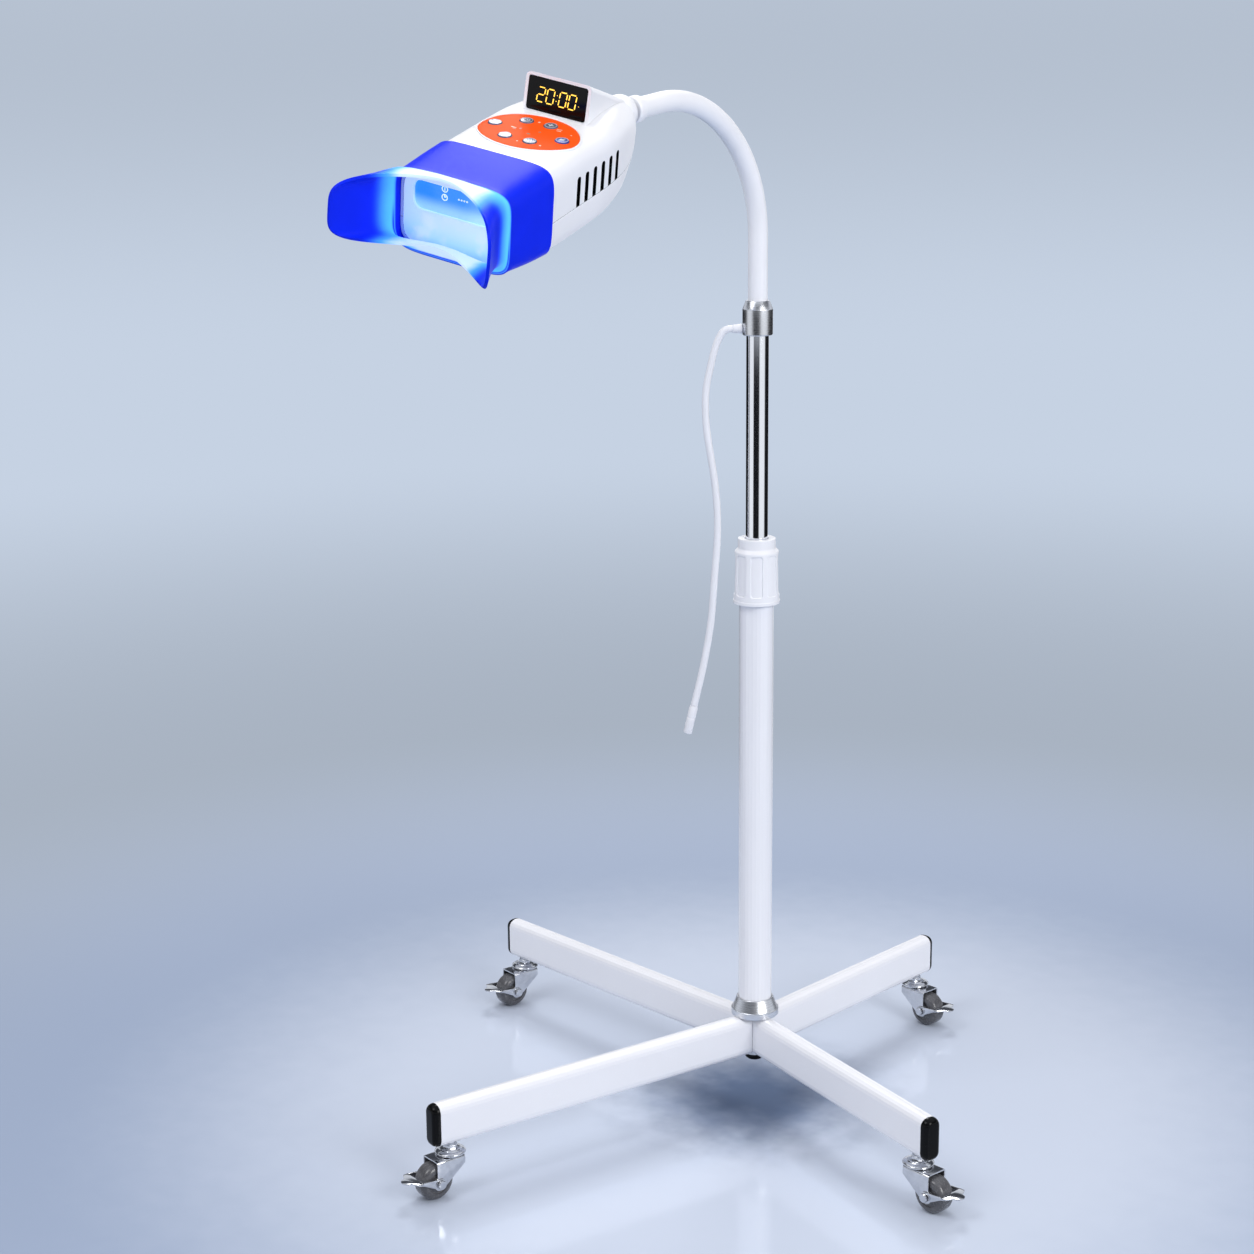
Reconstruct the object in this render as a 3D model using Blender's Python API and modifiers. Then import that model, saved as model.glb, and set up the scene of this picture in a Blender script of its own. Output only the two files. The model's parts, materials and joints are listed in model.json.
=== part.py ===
"""Teeth whitening lamp on a wheeled stand.

A four-legged base on swivel casters carries a white pole.  A chrome tube slides in the pole and is
held by a clamp nut.  It ends in a collar that holds a flexible neck, and the neck carries the lamp
head with its display, buttons, vents and blue mouth guard.

Metres, +Z up.  The lamp head looks towards -Y.  The origin is on the floor, at the middle of the
footprint of everything but the power lead.
"""
import math

import bmesh
import bpy
from mathutils import Matrix, Vector

# Clearances and cutting
GAP = 0.0003                    # between neighbouring pieces
OVERRUN = 0.004                 # how far a cutter runs past what it cuts
WELD = 0.00001                  # merge distance

# Casters
WHEEL_RADIUS = 0.0185
WHEEL_WIDTH = 0.020
WHEEL_EDGE = 0.006
AXLE_RADIUS = 0.003
AXLE_HEAD_RADIUS = 0.0046
AXLE_HEAD_HEIGHT = 0.0024
CASTER_TRAIL = 0.0205           # wheel axle ahead of the swivel axis
FORK_PLATE = 0.0016
FORK_SIDE_ROOM = 0.001          # wheel to fork plate
FORK_TOP_ROOM = 0.0026          # wheel to fork crown
FORK_EYE_RADIUS = 0.0070
FORK_FRONT = 0.003              # fork plate ahead of the axle
FORK_REAR = 0.009               # crown behind the swivel axis
FORK_REAR_DEPTH = 0.0085        # upright part of the fork's rear edge
STEM_HEAD_RADIUS = 0.0060
STEM_HEAD_HEIGHT = 0.0014
STEM_NECK_RADIUS = 0.0042
STEM_RADIUS = 0.005
RACE_RADIUS = 0.0155
RACE_HEIGHT = 0.006
# Bearing race from its top to its foot: radius, then height, as shares of its own
RACE_SHARES = (
    (0.50, 1.00), (0.66, 0.94), (0.72, 0.74), (0.88, 0.64), (1.00, 0.46), (1.00, 0.20), (0.86, 0.00),
)
STEM_NUT_RADIUS = 0.0075
STEM_NUT_HEIGHT = 0.0035
STEM_SHOULDER = 0.0015
BRAKE_PLATE = 0.0015
BRAKE_EYE_RADIUS = 0.0056
BRAKE_EYE_START = math.radians(100)
BRAKE_EYE_END = math.radians(310)
BRAKE_TAB_INNER = 0.0205        # tab's near edge ahead of the axle
BRAKE_TAB_OUTER = 0.0365
BRAKE_TAB_LIFT = 0.0060         # tab above the axle
BRAKE_TIP_WIDTH = 0.013
CASTER_TURN_LEFT = math.radians(258.0)    # way the casters of the long legs point, from above
CASTER_TURN_RIGHT = math.radians(352.0)   # and those of the short legs

# Base
LEG_HEIGHT = 0.0439
LEG_WIDTH = 0.020
LEG_CORNER = 0.0085
LEG_WALL = 0.0015
LONG_LEG = 0.391                # pole axis to the tube's end
SHORT_LEG = 0.302
BASE_TURN = math.radians(213.6)           # middle of the long legs, seen from above
LONG_LEG_SPREAD = math.radians(40.8)
SHORT_LEG_SPREAD = math.radians(126.7)
STEM_INSET = 0.015              # swivel axis to the leg's end
STEM_REACH = 0.022              # stem inside the leg
CAP_DOME = 0.0075
CAP_ROUNDING = 0.0055           # how far the dome draws in
CAP_PLUG = 0.008
CAP_STEPS = 4
HUB_RADIUS = 0.0125
HUB_PLUG_RADIUS = 0.0105
HUB_PLUG_HEIGHT = 0.007
HUB_PLUG_CHAMFER = 0.0026
HUB_PLUG_STEM_RADIUS = 0.0075
HUB_PLUG_STEM = 0.012
SPIGOT_LENGTH = 0.045
TONGUE_REACH = 0.055
FLANGE_BAND_RADIUS = 0.0250
FLANGE_CONE_RADIUS = 0.0240
FLANGE_RIM_RADIUS = 0.0192
FLANGE_BAND_HEIGHT = 0.0065
FLANGE_CONE_HEIGHT = 0.0125

# Pole and clamp
POLE_RADIUS = 0.0175
POLE_WALL = 0.0015
POLE_LENGTH = 0.4673
BUSH_DEPTH = 0.050
BUSH_FLANGE = 0.003
BUSH_NECK_RADIUS = 0.0155
BUSH_NECK_HEIGHT = 0.012
COLLET_RADIUS = 0.0148
COLLET_TIP_RADIUS = 0.0136
COLLET_HEIGHT = 0.017
COLLET_SLIT = 0.002
NUT_OVERLAP = 0.021             # nut over the pole's end
NUT_FOOT_RADIUS = 0.0238
NUT_FOOT_HEIGHT = 0.0035
NUT_BODY_RADIUS = 0.0233
NUT_SHOULDER_RADIUS = 0.0224
NUT_BODY_HEIGHT = 0.0535
NUT_CHAMFER = 0.0035
NUT_RING_RADIUS = 0.0192
NUT_RING_HEIGHT = 0.010
NUT_RING_LIP = 0.0012
NUT_TUBE_ROOM = 0.0010          # top ring to the chrome tube
NUT_PANELS = 8
NUT_PANEL_TURN = math.radians(36.8)
NUT_PANEL_WIDTH = 0.0125
NUT_PANEL_MARGIN = 0.0055       # above the foot; half as much below the shoulder
NUT_PANEL_DEPTH = 0.0011
NUT_PANEL_CORNER = 0.0028

# Sliding mast
TUBE_RADIUS = 0.0112
TUBE_WALL = 0.0012
TUBE_EXPOSED = 0.205            # chrome showing between the nut and the collar
TUBE_HIDDEN = 0.245             # below the nut's top
GLIDE_HEIGHT = 0.040
GLIDE_FLOOR = 0.002
GLIDE_FLOOR_BORE = 0.0075
COLLAR_RADIUS = 0.0151
COLLAR_LENGTH = 0.0343
COLLAR_CHAMFER = 0.0033         # how far the top draws in
COLLAR_TAPER = 0.0085           # over this height
COLLAR_LIP = 0.0009
COLLAR_TUBE_DEPTH = 0.0125
COLLAR_WEB = 0.004
COLLAR_WEB_BORE = 0.0075

# Power lead
LEAD_TURN = math.radians(216.8)  # side of the collar where the lead leaves
LEAD_DROP = 0.0062               # lead's axis above the collar's foot
LEAD_RADIUS = 0.0037
GROMMET_STEM_RADIUS = 0.0036
GROMMET_FLANGE_RADIUS = 0.0052
GROMMET_ROOT_RADIUS = 0.0047
GROMMET_FLANGE = 0.002
GROMMET_LENGTH = 0.007
GROMMET_TIP_RADIUS = 0.0042
GROMMET_SEAT = 0.0005            # stem's end short of the chrome tube
CONNECTOR_RADIUS = 0.0045
CONNECTOR_LENGTH = 0.030
CONNECTOR_TAPER = 0.0032
CONNECTOR_BORE = 0.0029
CONNECTOR_BORE_DEPTH = 0.012
CONNECTOR_PIN_RADIUS = 0.0011
CONNECTOR_PIN_LENGTH = 0.0096
LEAD_SAMPLES = 46
# The lead's route, from the grommet's tip to the connector: distance from the pole's axis and
# height over the floor, in the upright plane of the side where the lead leaves
LEAD_ROUTE = (
    (0.0292, 0.8294), (0.0352, 0.8262), (0.0405, 0.8168), (0.0445, 0.8045), (0.0480, 0.7890),
    (0.0515, 0.7720), (0.0526, 0.7520), (0.0515, 0.7300), (0.0480, 0.7060), (0.0445, 0.6840),
    (0.0418, 0.6620), (0.0405, 0.6390), (0.0408, 0.6150), (0.0424, 0.5920), (0.0441, 0.5690),
    (0.0460, 0.5420), (0.0487, 0.5190), (0.0523, 0.4980), (0.0562, 0.4780), (0.0605, 0.4590),
    (0.0645, 0.4420),
)

# Flexible neck
NECK_RADIUS = 0.0098
NECK_RISE = 0.0796              # straight part above its seat in the collar
NECK_BEND_RADIUS = 0.1332
NECK_BEND = math.radians(98.0)  # turn from upright
NECK_RUN = 0.0396               # straight part after the bend
NECK_END = 0.001                # straight run at each end of a length
LOW_BEND_AT = math.radians(14.0)
HIGH_BEND_AT = math.radians(68.0)
NECK_STEP = math.radians(5.5)
BEND_BALL_RADIUS = 0.0085
BEND_CUP_ROOM = 0.0006          # ball to cup
BEND_NECK_BACK = 0.0062         # tube's end before a bend's centre
BEND_NECK_FORE = 0.0040         # next tube's start after it
STUD_RADIUS = 0.0040
FERRULE_RADIUS = 0.0125
FERRULE_LENGTH = 0.009
FERRULE_WALL = 0.0022
FERRULE_EDGE = 0.0008
BALL_RADIUS = 0.0125
DOME_RADIUS = 0.0170
DOME_MOUTH_RADIUS = 0.0105
DOME_REACH_SHARE = 0.72         # dome kept ahead of the ball's centre, of its radius

# Lamp head, measured from the ball's centre; the head's own -Y is forward
HEAD_YAW = math.radians(10.5)
HEAD_PITCH = math.radians(15.4)
HEAD_ROLL = math.radians(13.4)
HEAD_WIDTH = 0.113
HEAD_TOP = 0.0352
HEAD_BOTTOM = 0.0462
HEAD_NOSE = 0.2822              # front of the nose
GUARD_EDGE = 0.2232             # back edge of the mouth guard
SEAM_DROP = 0.0135              # shell joint below the ball's centre
SHELL_WALL = 0.0025
SHELL_STEP = 0.0012             # nose stepped in under the guard
HEAD_RING = 32                  # points around the section
# Stations along the head: place as a share of the nose length, then width, top and bottom as
# shares of the head's own, and the power of the squarish section
HEAD_SHARES = (
    (1.000, 0.960, 0.943, 0.822, 6.1),
    (0.895, 0.985, 0.971, 0.911, 6.1),
    (0.790, 1.000, 0.989, 0.969, 6.1),
    (0.643, 1.000, 1.000, 1.000, 6.1),
    (0.455, 1.000, 1.000, 0.987, 5.9),
    (0.318, 0.933, 0.983, 0.911, 4.9),
    (0.213, 0.795, 0.908, 0.787, 3.5),
    (0.129, 0.639, 0.794, 0.671, 2.8),
    (0.065, 0.460, 0.620, 0.540, 2.4),
    (0.035, 0.276, 0.443, 0.338, 2.0),
)
VENT_COUNT = 6
VENT_WIDTH = 0.0062
VENT_CORNER = 0.0028
VENT_PITCH = 0.0142
VENT_FIRST = 0.1061             # nearest vent to the ball
VENT_LOW = -0.0148
VENT_HIGH = 0.0132

PANEL_PLACE = 0.1665
PANEL_SIDE_MARGIN = 0.0114      # panel's oval to the head's side
PANEL_HALF_LENGTH = 0.0372
PANEL_PLATE = 0.0050            # thickest, in the middle of the crowned panel
PANEL_PROUD = 0.0008
BUTTON_RADIUS = 0.0062
BUTTON_EDGE = 0.0012
BUTTON_PROUD = 0.0009
BUTTON_TRAVEL = 0.0006
BUTTON_RIM = 0.0010
BUTTON_RIM_HEIGHT = 0.0008
BUTTON_STEM_RADIUS = 0.0018
BUTTON_STEM = 0.0035
# Buttons: name, then side and length places as shares of the panel's half width and half length
BUTTON_SHARES = (
    ("button_mode", -0.745, 0.030),
    ("button_minus", -0.270, -0.510),
    ("button_time", -0.300, 0.540),
    ("button_plus", 0.200, 0.590),
    ("button_light", 0.250, -0.480),
    ("button_start", 0.715, 0.000),
)
BOARD_HALF_LENGTH = 0.034
BOARD_MARGIN = 0.0031           # board's side inside the panel's
BOARD_THICKNESS = 0.0016
BOARD_ARM = 0.008               # arms that reach the shell

DISPLAY_WIDTH = 0.0575
DISPLAY_HEIGHT = 0.0290
DISPLAY_PLATE = 0.0030
DISPLAY_PLACE = 0.1218          # lower edge of the window
DISPLAY_LIFT = 0.0365
DISPLAY_TILT = math.radians(8.2)
HOOD_MARGIN = 0.0032            # white rim around the window
HOOD_WALL = 0.0022
HOOD_ROUNDING = 0.0050
HOOD_REAR_PLACE = 0.0175
HOOD_REAR_HALF_WIDTH = 0.0165
HOOD_REAR_HEIGHT = 0.0215
HOOD_SINK = 0.016               # hood's block below the window, cut to the shell

WINDOW_MARGIN = 0.0152          # window's side to the head's
WINDOW_LOW = -0.0030
WINDOW_HIGH = 0.0230
WINDOW_CORNER = 0.008
FRAME_DEPTH = 0.010
PANE_THICKNESS = 0.003
PANE_INSET = 0.0025             # pane behind the frame's front
LED_PLACE = 0.2482
LED_PLATE = 0.004
LED_COUNT = 6
LED_RADIUS = 0.0045
LED_HEIGHT = 0.004
LED_SINK = 0.001
FAN_PLACE = 0.0912
FAN_DEPTH = 0.012
FAN_HUB_RADIUS = 0.009
FAN_RADIUS = 0.0225
FAN_TIP_ROOM = 0.0012
FAN_FRONT_ROOM = 0.001          # rotor's front behind the frame's
FAN_BLADES = 7
FAN_BLADE_THICKNESS = 0.0012
FAN_BLADE_DEPTH = 0.0074
FAN_BLADE_ROOT = 0.0018         # blade inside the rotor's hub
FAN_BLADE_PITCH = math.radians(35.0)
FAN_SPINDLE_RADIUS = 0.002
FAN_SPINDLE_LENGTH = 0.0096
FAN_WINDOWS = 3
FAN_WINDOW = math.radians(100.0)
FAN_WINDOW_INSET = math.radians(14.0)
FAN_STRUT = 0.004
FAN_BACK_WALL = 0.002

GUARD_WALL = 0.0026
GUARD_TOP = 0.0398              # top of the rim
GUARD_FLOOR = 0.0235            # bottom of the rim
GUARD_RIM = 0.3038              # middle of the rim
GUARD_WING_OUTREACH = 0.0195    # wing tips outside the head's sides
GUARD_WING_REACH = 0.0525       # wing tips ahead of the middle
GUARD_TWIST = math.radians(3.1)  # the soft rim stands a little askew
GUARD_RING = 40
GUARD_WARP = 0.85               # evens out the points around the squarish rim
GUARD_GRIP_STEPS = 3            # stations that hold the nose
# Stations from the nose to the rim: place as a share of that stretch, then the shares by which
# the width, top and floor have changed and the rim's curve has set in
GUARD_FLARE_SHARES = (
    (0.20, 0.03, 0.30, 0.05),
    (0.34, 0.09, 0.68, 0.15),
    (0.48, 0.20, 0.90, 0.35),
    (0.64, 0.42, 0.98, 0.60),
    (0.82, 0.70, 1.00, 0.80),
    (1.00, 1.00, 1.00, 1.00),
)
GUARD_CURVE_POWER = 1.6         # how the rim sweeps from its middle to the wings

# Roundness of turned pieces
FINE = 28
MEDIUM = 22
SMALL = 12
WHEEL_STEPS = 20
KNOB_STEPS = 14
OVAL_STEPS = 30

# Finishes: colour, roughness, metallic
FINISHES = {
    "white_paint": ((0.90, 0.91, 0.94), 0.25, 0.0),
    "white_plastic": ((0.90, 0.91, 0.93), 0.35, 0.0),
    "chrome": ((0.80, 0.81, 0.83), 0.12, 1.0),
    "zinc_steel": ((0.66, 0.67, 0.69), 0.28, 1.0),
    "black_plastic": ((0.015, 0.015, 0.016), 0.35, 0.0),
    "dark_wheel": ((0.10, 0.10, 0.105), 0.30, 0.0),
    "display_black": ((0.01, 0.01, 0.012), 0.10, 0.0),
    "panel_orange": ((0.95, 0.16, 0.03), 0.40, 0.0),
    "button_grey": ((0.30, 0.38, 0.50), 0.35, 0.0),
    "button_blue": ((0.03, 0.10, 0.55), 0.30, 0.0),
    "board_green": ((0.05, 0.25, 0.12), 0.45, 0.0),
    "guard_blue": ((0.02, 0.06, 0.80), 0.20, 0.0),
    "light_white": ((0.75, 0.90, 1.00), 0.30, 0.0),
    "lens_blue": ((0.20, 0.55, 0.95), 0.08, 0.0),
    "lead_white": ((0.88, 0.88, 0.90), 0.45, 0.0),
}

# Heights and places that follow from the sizes above
CROWN_UNDER = 2 * WHEEL_RADIUS + FORK_TOP_ROOM
CROWN_TOP = CROWN_UNDER + FORK_PLATE
RACE_FOOT = CROWN_TOP + GAP
STEM_TOP = RACE_FOOT + RACE_HEIGHT + STEM_NUT_HEIGHT + STEM_SHOULDER
LEG_FOOT = STEM_TOP + GAP
LEG_MIDDLE = LEG_FOOT + LEG_HEIGHT / 2
LEG_TOP = LEG_FOOT + LEG_HEIGHT
FORK_INNER = WHEEL_WIDTH / 2 + FORK_SIDE_ROOM
FORK_OUTER = FORK_INNER + FORK_PLATE
BRAKE_INNER = FORK_OUTER + GAP
BRAKE_OUTER = BRAKE_INNER + BRAKE_PLATE
POLE_FOOT = LEG_TOP + GAP
POLE_TOP = POLE_FOOT + POLE_LENGTH
POLE_BORE = POLE_RADIUS - POLE_WALL
TUBE_HOLE = TUBE_RADIUS + GAP
BUSH_TOP = POLE_TOP + GAP + BUSH_FLANGE + BUSH_NECK_HEIGHT
COLLET_TOP = BUSH_TOP + GAP + COLLET_HEIGHT
NUT_FOOT = POLE_TOP - NUT_OVERLAP
NUT_TOP = NUT_FOOT + NUT_BODY_HEIGHT + NUT_CHAMFER + NUT_RING_HEIGHT
TUBE_FOOT = NUT_TOP - TUBE_HIDDEN
COLLAR_FOOT = NUT_TOP + TUBE_EXPOSED
TUBE_TOP = COLLAR_FOOT + COLLAR_TUBE_DEPTH
NECK_FOOT = TUBE_TOP + GAP + COLLAR_WEB + GAP
BEND_FOOT = NECK_FOOT + NECK_RISE
NECK_END_TURN = NECK_BEND + NECK_RUN / NECK_BEND_RADIUS
HALF_HEAD = HEAD_WIDTH / 2
PANEL_HALF_WIDTH = HALF_HEAD - PANEL_SIDE_MARGIN
PANEL_FLOOR = HEAD_TOP + PANEL_PROUD - PANEL_PLATE
BOARD_HALF_WIDTH = PANEL_HALF_WIDTH - BOARD_MARGIN
WINDOW_HALF_WIDTH = HALF_HEAD - WINDOW_MARGIN
GUARD_WING_HALF_WIDTH = HALF_HEAD + GUARD_WING_OUTREACH
LEGS = (
    ("front", BASE_TURN + LONG_LEG_SPREAD, LONG_LEG, CASTER_TURN_LEFT),
    ("left", BASE_TURN - LONG_LEG_SPREAD, LONG_LEG, CASTER_TURN_LEFT),
    ("rear", BASE_TURN - SHORT_LEG_SPREAD, SHORT_LEG, CASTER_TURN_RIGHT),
    ("right", BASE_TURN + SHORT_LEG_SPREAD, SHORT_LEG, CASTER_TURN_RIGHT),
)

UP = Vector((0, 0, 1))


def collection(name):
    found = bpy.data.collections.new(name)
    bpy.context.scene.collection.children.link(found)
    return found


def material(slot):
    made = bpy.data.materials.get(slot)
    if made:
        return made
    colour, roughness, metallic = FINISHES[slot]
    made = bpy.data.materials.new(slot)
    made.use_nodes = True
    shader = made.node_tree.nodes["Principled BSDF"]
    shader.inputs["Base Color"].default_value = (*colour, 1)
    shader.inputs["Roughness"].default_value = roughness
    shader.inputs["Metallic"].default_value = metallic
    made.diffuse_color = (*colour, 1)
    return made


class Shop:
    """The two collections, and the empties that place groups of pieces."""

    def __init__(self):
        self.parts = collection("teeth_whitening_lamp")
        self.cutters = collection("cutters")

    def empty(self, name, matrix, parent=None):
        made = bpy.data.objects.new(name, None)
        self.parts.objects.link(made)
        made.parent = parent
        made.matrix_local = matrix
        made.hide_render = True
        return made

    def piece(self, name, mesh, slot, parent, matrix=None):
        made = bpy.data.objects.new(name, mesh)
        self.parts.objects.link(made)
        made.parent = parent
        made.matrix_local = matrix or Matrix.Identity(4)
        mesh.materials.clear()
        mesh.materials.append(material(slot))
        mesh.shade_smooth()
        mesh.set_sharp_from_angle(angle=math.radians(35))
        return made

    def cutter(self, mesh, parent, matrix=None):
        made = bpy.data.objects.new("cutter", mesh)
        self.cutters.objects.link(made)
        made.parent = parent
        made.matrix_local = matrix or Matrix.Identity(4)
        made.hide_render = True
        made.display_type = "WIRE"
        return made


def combine(target, tool, operation):
    """Add a live Boolean to target."""
    boolean = target.modifiers.new(operation.lower(), "BOOLEAN")
    boolean.operation = operation
    boolean.object = tool
    boolean.solver = "EXACT"


def cut(shop, target, mesh, matrix=None):
    """Take a mesh, placed in the target's own frame, out of the target."""
    combine(target, shop.cutter(mesh, target, matrix), "DIFFERENCE")


def add(shop, target, mesh, matrix=None):
    """Join a mesh, placed in the target's own frame, to the target."""
    combine(target, shop.cutter(mesh, target, matrix), "UNION")


def keep(shop, target, mesh, matrix=None):
    """Keep only what of the target lies inside a mesh placed in its own frame."""
    combine(target, shop.cutter(mesh, target, matrix), "INTERSECT")


def evaluated_mesh(made):
    """The mesh of an object with its modifiers, as a mesh of its own; the object is removed."""
    bpy.context.view_layer.update()
    graph = bpy.context.evaluated_depsgraph_get()
    mesh = bpy.data.meshes.new_from_object(made.evaluated_get(graph))
    bpy.data.objects.remove(made)
    work = bmesh.new()
    work.from_mesh(mesh)
    bmesh.ops.remove_doubles(work, verts=work.verts, dist=WELD)
    bmesh.ops.recalc_face_normals(work, faces=work.faces)
    work.to_mesh(mesh)
    work.free()
    return mesh


def moved(mesh, matrix):
    mesh.transform(matrix)
    return mesh


def copies(mesh, matrices):
    """One mesh that holds a copy of another at each matrix."""
    work = bmesh.new()
    for matrix in matrices:
        mesh.transform(matrix)
        work.from_mesh(mesh)
        mesh.transform(matrix.inverted())
    made = bpy.data.meshes.new(mesh.name)
    work.to_mesh(made)
    work.free()
    return made


def turned(profile, steps, hollow=False):
    """A turned shape about Z: (radius, height) down the outer side, and up the bore if hollow."""
    mesh = bpy.data.meshes.new("turned")
    work = bmesh.new()
    points = [work.verts.new((radius, 0, height)) for radius, height in profile]
    for start, end in zip(points, points[1:]):
        work.edges.new((start, end))
    if hollow:
        work.edges.new((points[-1], points[0]))
    work.to_mesh(mesh)
    work.free()
    made = bpy.data.objects.new("turned", mesh)
    bpy.context.scene.collection.objects.link(made)
    screw = made.modifiers.new("screw", "SCREW")
    screw.axis = "Z"
    screw.angle = 2 * math.pi
    screw.steps = steps
    screw.render_steps = steps
    screw.use_merge_vertices = True
    screw.merge_threshold = WELD
    return evaluated_mesh(made)


def cylinder(radius, low, high, steps):
    """A plain cylinder on Z between two heights."""
    return turned(((0, high), (radius, high), (radius, low), (0, low)), steps)


def ring(outer, inner, low, high, steps):
    """A round tube on Z between two heights."""
    return turned(((outer, high), (outer, low), (inner, low), (inner, high)), steps, hollow=True)


def box(low, high):
    """A box between two corners."""
    mesh = bpy.data.meshes.new("box")
    work = bmesh.new()
    bmesh.ops.create_cube(work, size=1)
    low, high = Vector(low), Vector(high)
    span = high - low
    bmesh.ops.scale(work, verts=work.verts, vec=span)
    bmesh.ops.translate(work, verts=work.verts, vec=(low + high) / 2)
    work.to_mesh(mesh)
    work.free()
    return mesh


def ball(radius, segments):
    mesh = bpy.data.meshes.new("ball")
    work = bmesh.new()
    bmesh.ops.create_uvsphere(work, u_segments=segments, v_segments=segments // 2, radius=radius)
    work.to_mesh(mesh)
    work.free()
    return mesh


def arc(centre, radius, start, end, steps):
    """Points on an arc, angles in radians."""
    turn = (end - start) / steps
    angles = (start + turn * step for step in range(steps + 1))
    return [(centre[0] + radius * math.cos(a), centre[1] + radius * math.sin(a)) for a in angles]


def rounded_box(half_width, half_height, corner, steps=4, middle=(0, 0)):
    """Outline of a rectangle with round corners."""
    points = []
    for turn, (side, rise) in enumerate(((1, 1), (-1, 1), (-1, -1), (1, -1))):
        centre = (
            middle[0] + side * (half_width - corner),
            middle[1] + rise * (half_height - corner),
        )
        start = turn * math.pi / 2
        points += arc(centre, corner, start, start + math.pi / 2, steps)
    return points


def prism(outlines, thickness):
    """A flat outline, or several with the inner ones as holes, from height 0 up."""
    curve = bpy.data.curves.new("prism", "CURVE")
    curve.dimensions = "2D"
    curve.fill_mode = "BOTH"
    curve.extrude = thickness / 2
    for outline in outlines:
        spline = curve.splines.new("POLY")
        spline.points.add(len(outline[1:]))
        spline.use_cyclic_u = True
        for point, place in zip(spline.points, outline):
            point.co = (*place, 0, 1)
    made = bpy.data.objects.new("prism", curve)
    bpy.context.scene.collection.objects.link(made)
    return moved(evaluated_mesh(made), Matrix.Translation(UP * thickness / 2))


def tube(points, radius, resolution):
    """A solid round bar along points."""
    curve = bpy.data.curves.new("tube", "CURVE")
    curve.dimensions = "3D"
    curve.bevel_depth = radius
    curve.bevel_resolution = resolution
    curve.use_fill_caps = True
    spline = curve.splines.new("POLY")
    spline.points.add(len(points[1:]))
    for point, place in zip(spline.points, points):
        point.co = (*place, 1)
    made = bpy.data.objects.new("tube", curve)
    bpy.context.scene.collection.objects.link(made)
    return evaluated_mesh(made)


def smooth_route(points, samples):
    """Evenly spread points on a smooth curve through the given ones (Catmull-Rom)."""
    ends = [2 * points[0] - points[1], *points, 2 * points[-1] - points[-2]]
    fine = []
    parts = 12
    for before, start, end, after in zip(ends, ends[1:], ends[2:], ends[3:]):
        for part in range(parts):
            t = part / parts
            fine.append(
                0.5 * (2 * start + (end - before) * t
                       + (2 * before - 5 * start + 4 * end - after) * t ** 2
                       + (3 * start - before - 3 * end + after) * t ** 3))
    fine.append(points[-1])
    lengths = [0.0]
    for start, end in zip(fine, fine[1:]):
        lengths.append(lengths[-1] + (end - start).length)
    route = []
    index = 0
    for sample in range(samples):
        goal = lengths[-1] * sample / (samples - 1)
        while index < len(fine) - 2 and lengths[index + 1] < goal:
            index += 1
        share = (goal - lengths[index]) / (lengths[index + 1] - lengths[index])
        route.append(fine[index].lerp(fine[index + 1], share))
    return route


def loft(rings, capped):
    """A skin over rings of points, closed around, and closed at both ends if capped."""
    mesh = bpy.data.meshes.new("loft")
    work = bmesh.new()
    loops = [[work.verts.new(point) for point in points] for points in rings]
    for near, far in zip(loops, loops[1:]):
        for index, corner in enumerate(near):
            other = (index + 1) % len(near)
            work.faces.new((corner, near[other], far[other], far[index]))
    if capped:
        work.faces.new(loops[0])
        work.faces.new(loops[-1])
    bmesh.ops.recalc_face_normals(work, faces=work.faces)
    work.to_mesh(mesh)
    work.free()
    return mesh


def squarish(half_width, top, bottom, sharpness, count, warp=0.0):
    """(x, z) points of a squarish oval around, with unlike top and bottom."""
    points = []
    power = 2 / sharpness
    for index in range(count):
        angle = 2 * math.pi * (index + 0.5) / count
        angle -= warp * math.sin(4 * angle) / 4
        side, rise = math.cos(angle), math.sin(angle)
        x = math.copysign(abs(side) ** power, side)
        z = math.copysign(abs(rise) ** power, rise)
        middle, half = (top - bottom) / 2, (top + bottom) / 2
        points.append((half_width * x, middle + half * z))
    return points


def flat_turn(angle):
    return Matrix.Rotation(angle, 4, "Z")


def along(direction):
    """A turn that brings +Z to the given direction."""
    return Vector(direction).to_track_quat("Z", "Y").to_matrix().to_4x4()


# Casters

def build_stem_mesh(shop):
    """Rivet head, neck through the fork's crown, bearing race, nut and threaded stem, in one."""
    race_top = RACE_FOOT + RACE_HEIGHT
    head_top = CROWN_UNDER - GAP
    tip = STEM_TOP + LEG_WALL + STEM_REACH
    shoulder = STEM_NUT_RADIUS - STEM_SHOULDER
    profile = [(0, tip), (STEM_RADIUS, tip), (STEM_RADIUS, STEM_TOP), (shoulder, STEM_TOP),
               (shoulder, race_top)]
    profile += [(RACE_RADIUS * reach, RACE_FOOT + RACE_HEIGHT * rise) for reach, rise in RACE_SHARES]
    profile += [(STEM_NECK_RADIUS, RACE_FOOT), (STEM_NECK_RADIUS, head_top), (STEM_HEAD_RADIUS, head_top)]
    profile += [(STEM_HEAD_RADIUS, head_top - STEM_HEAD_HEIGHT), (0, head_top - STEM_HEAD_HEIGHT)]
    stem = shop.piece("stem", turned(profile, KNOB_STEPS), "zinc_steel", None)
    nut_foot = race_top - STEM_SHOULDER / 2
    add(shop, stem, cylinder(STEM_NUT_RADIUS, nut_foot, race_top + STEM_NUT_HEIGHT, 6))
    return evaluated_mesh(stem)


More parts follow.
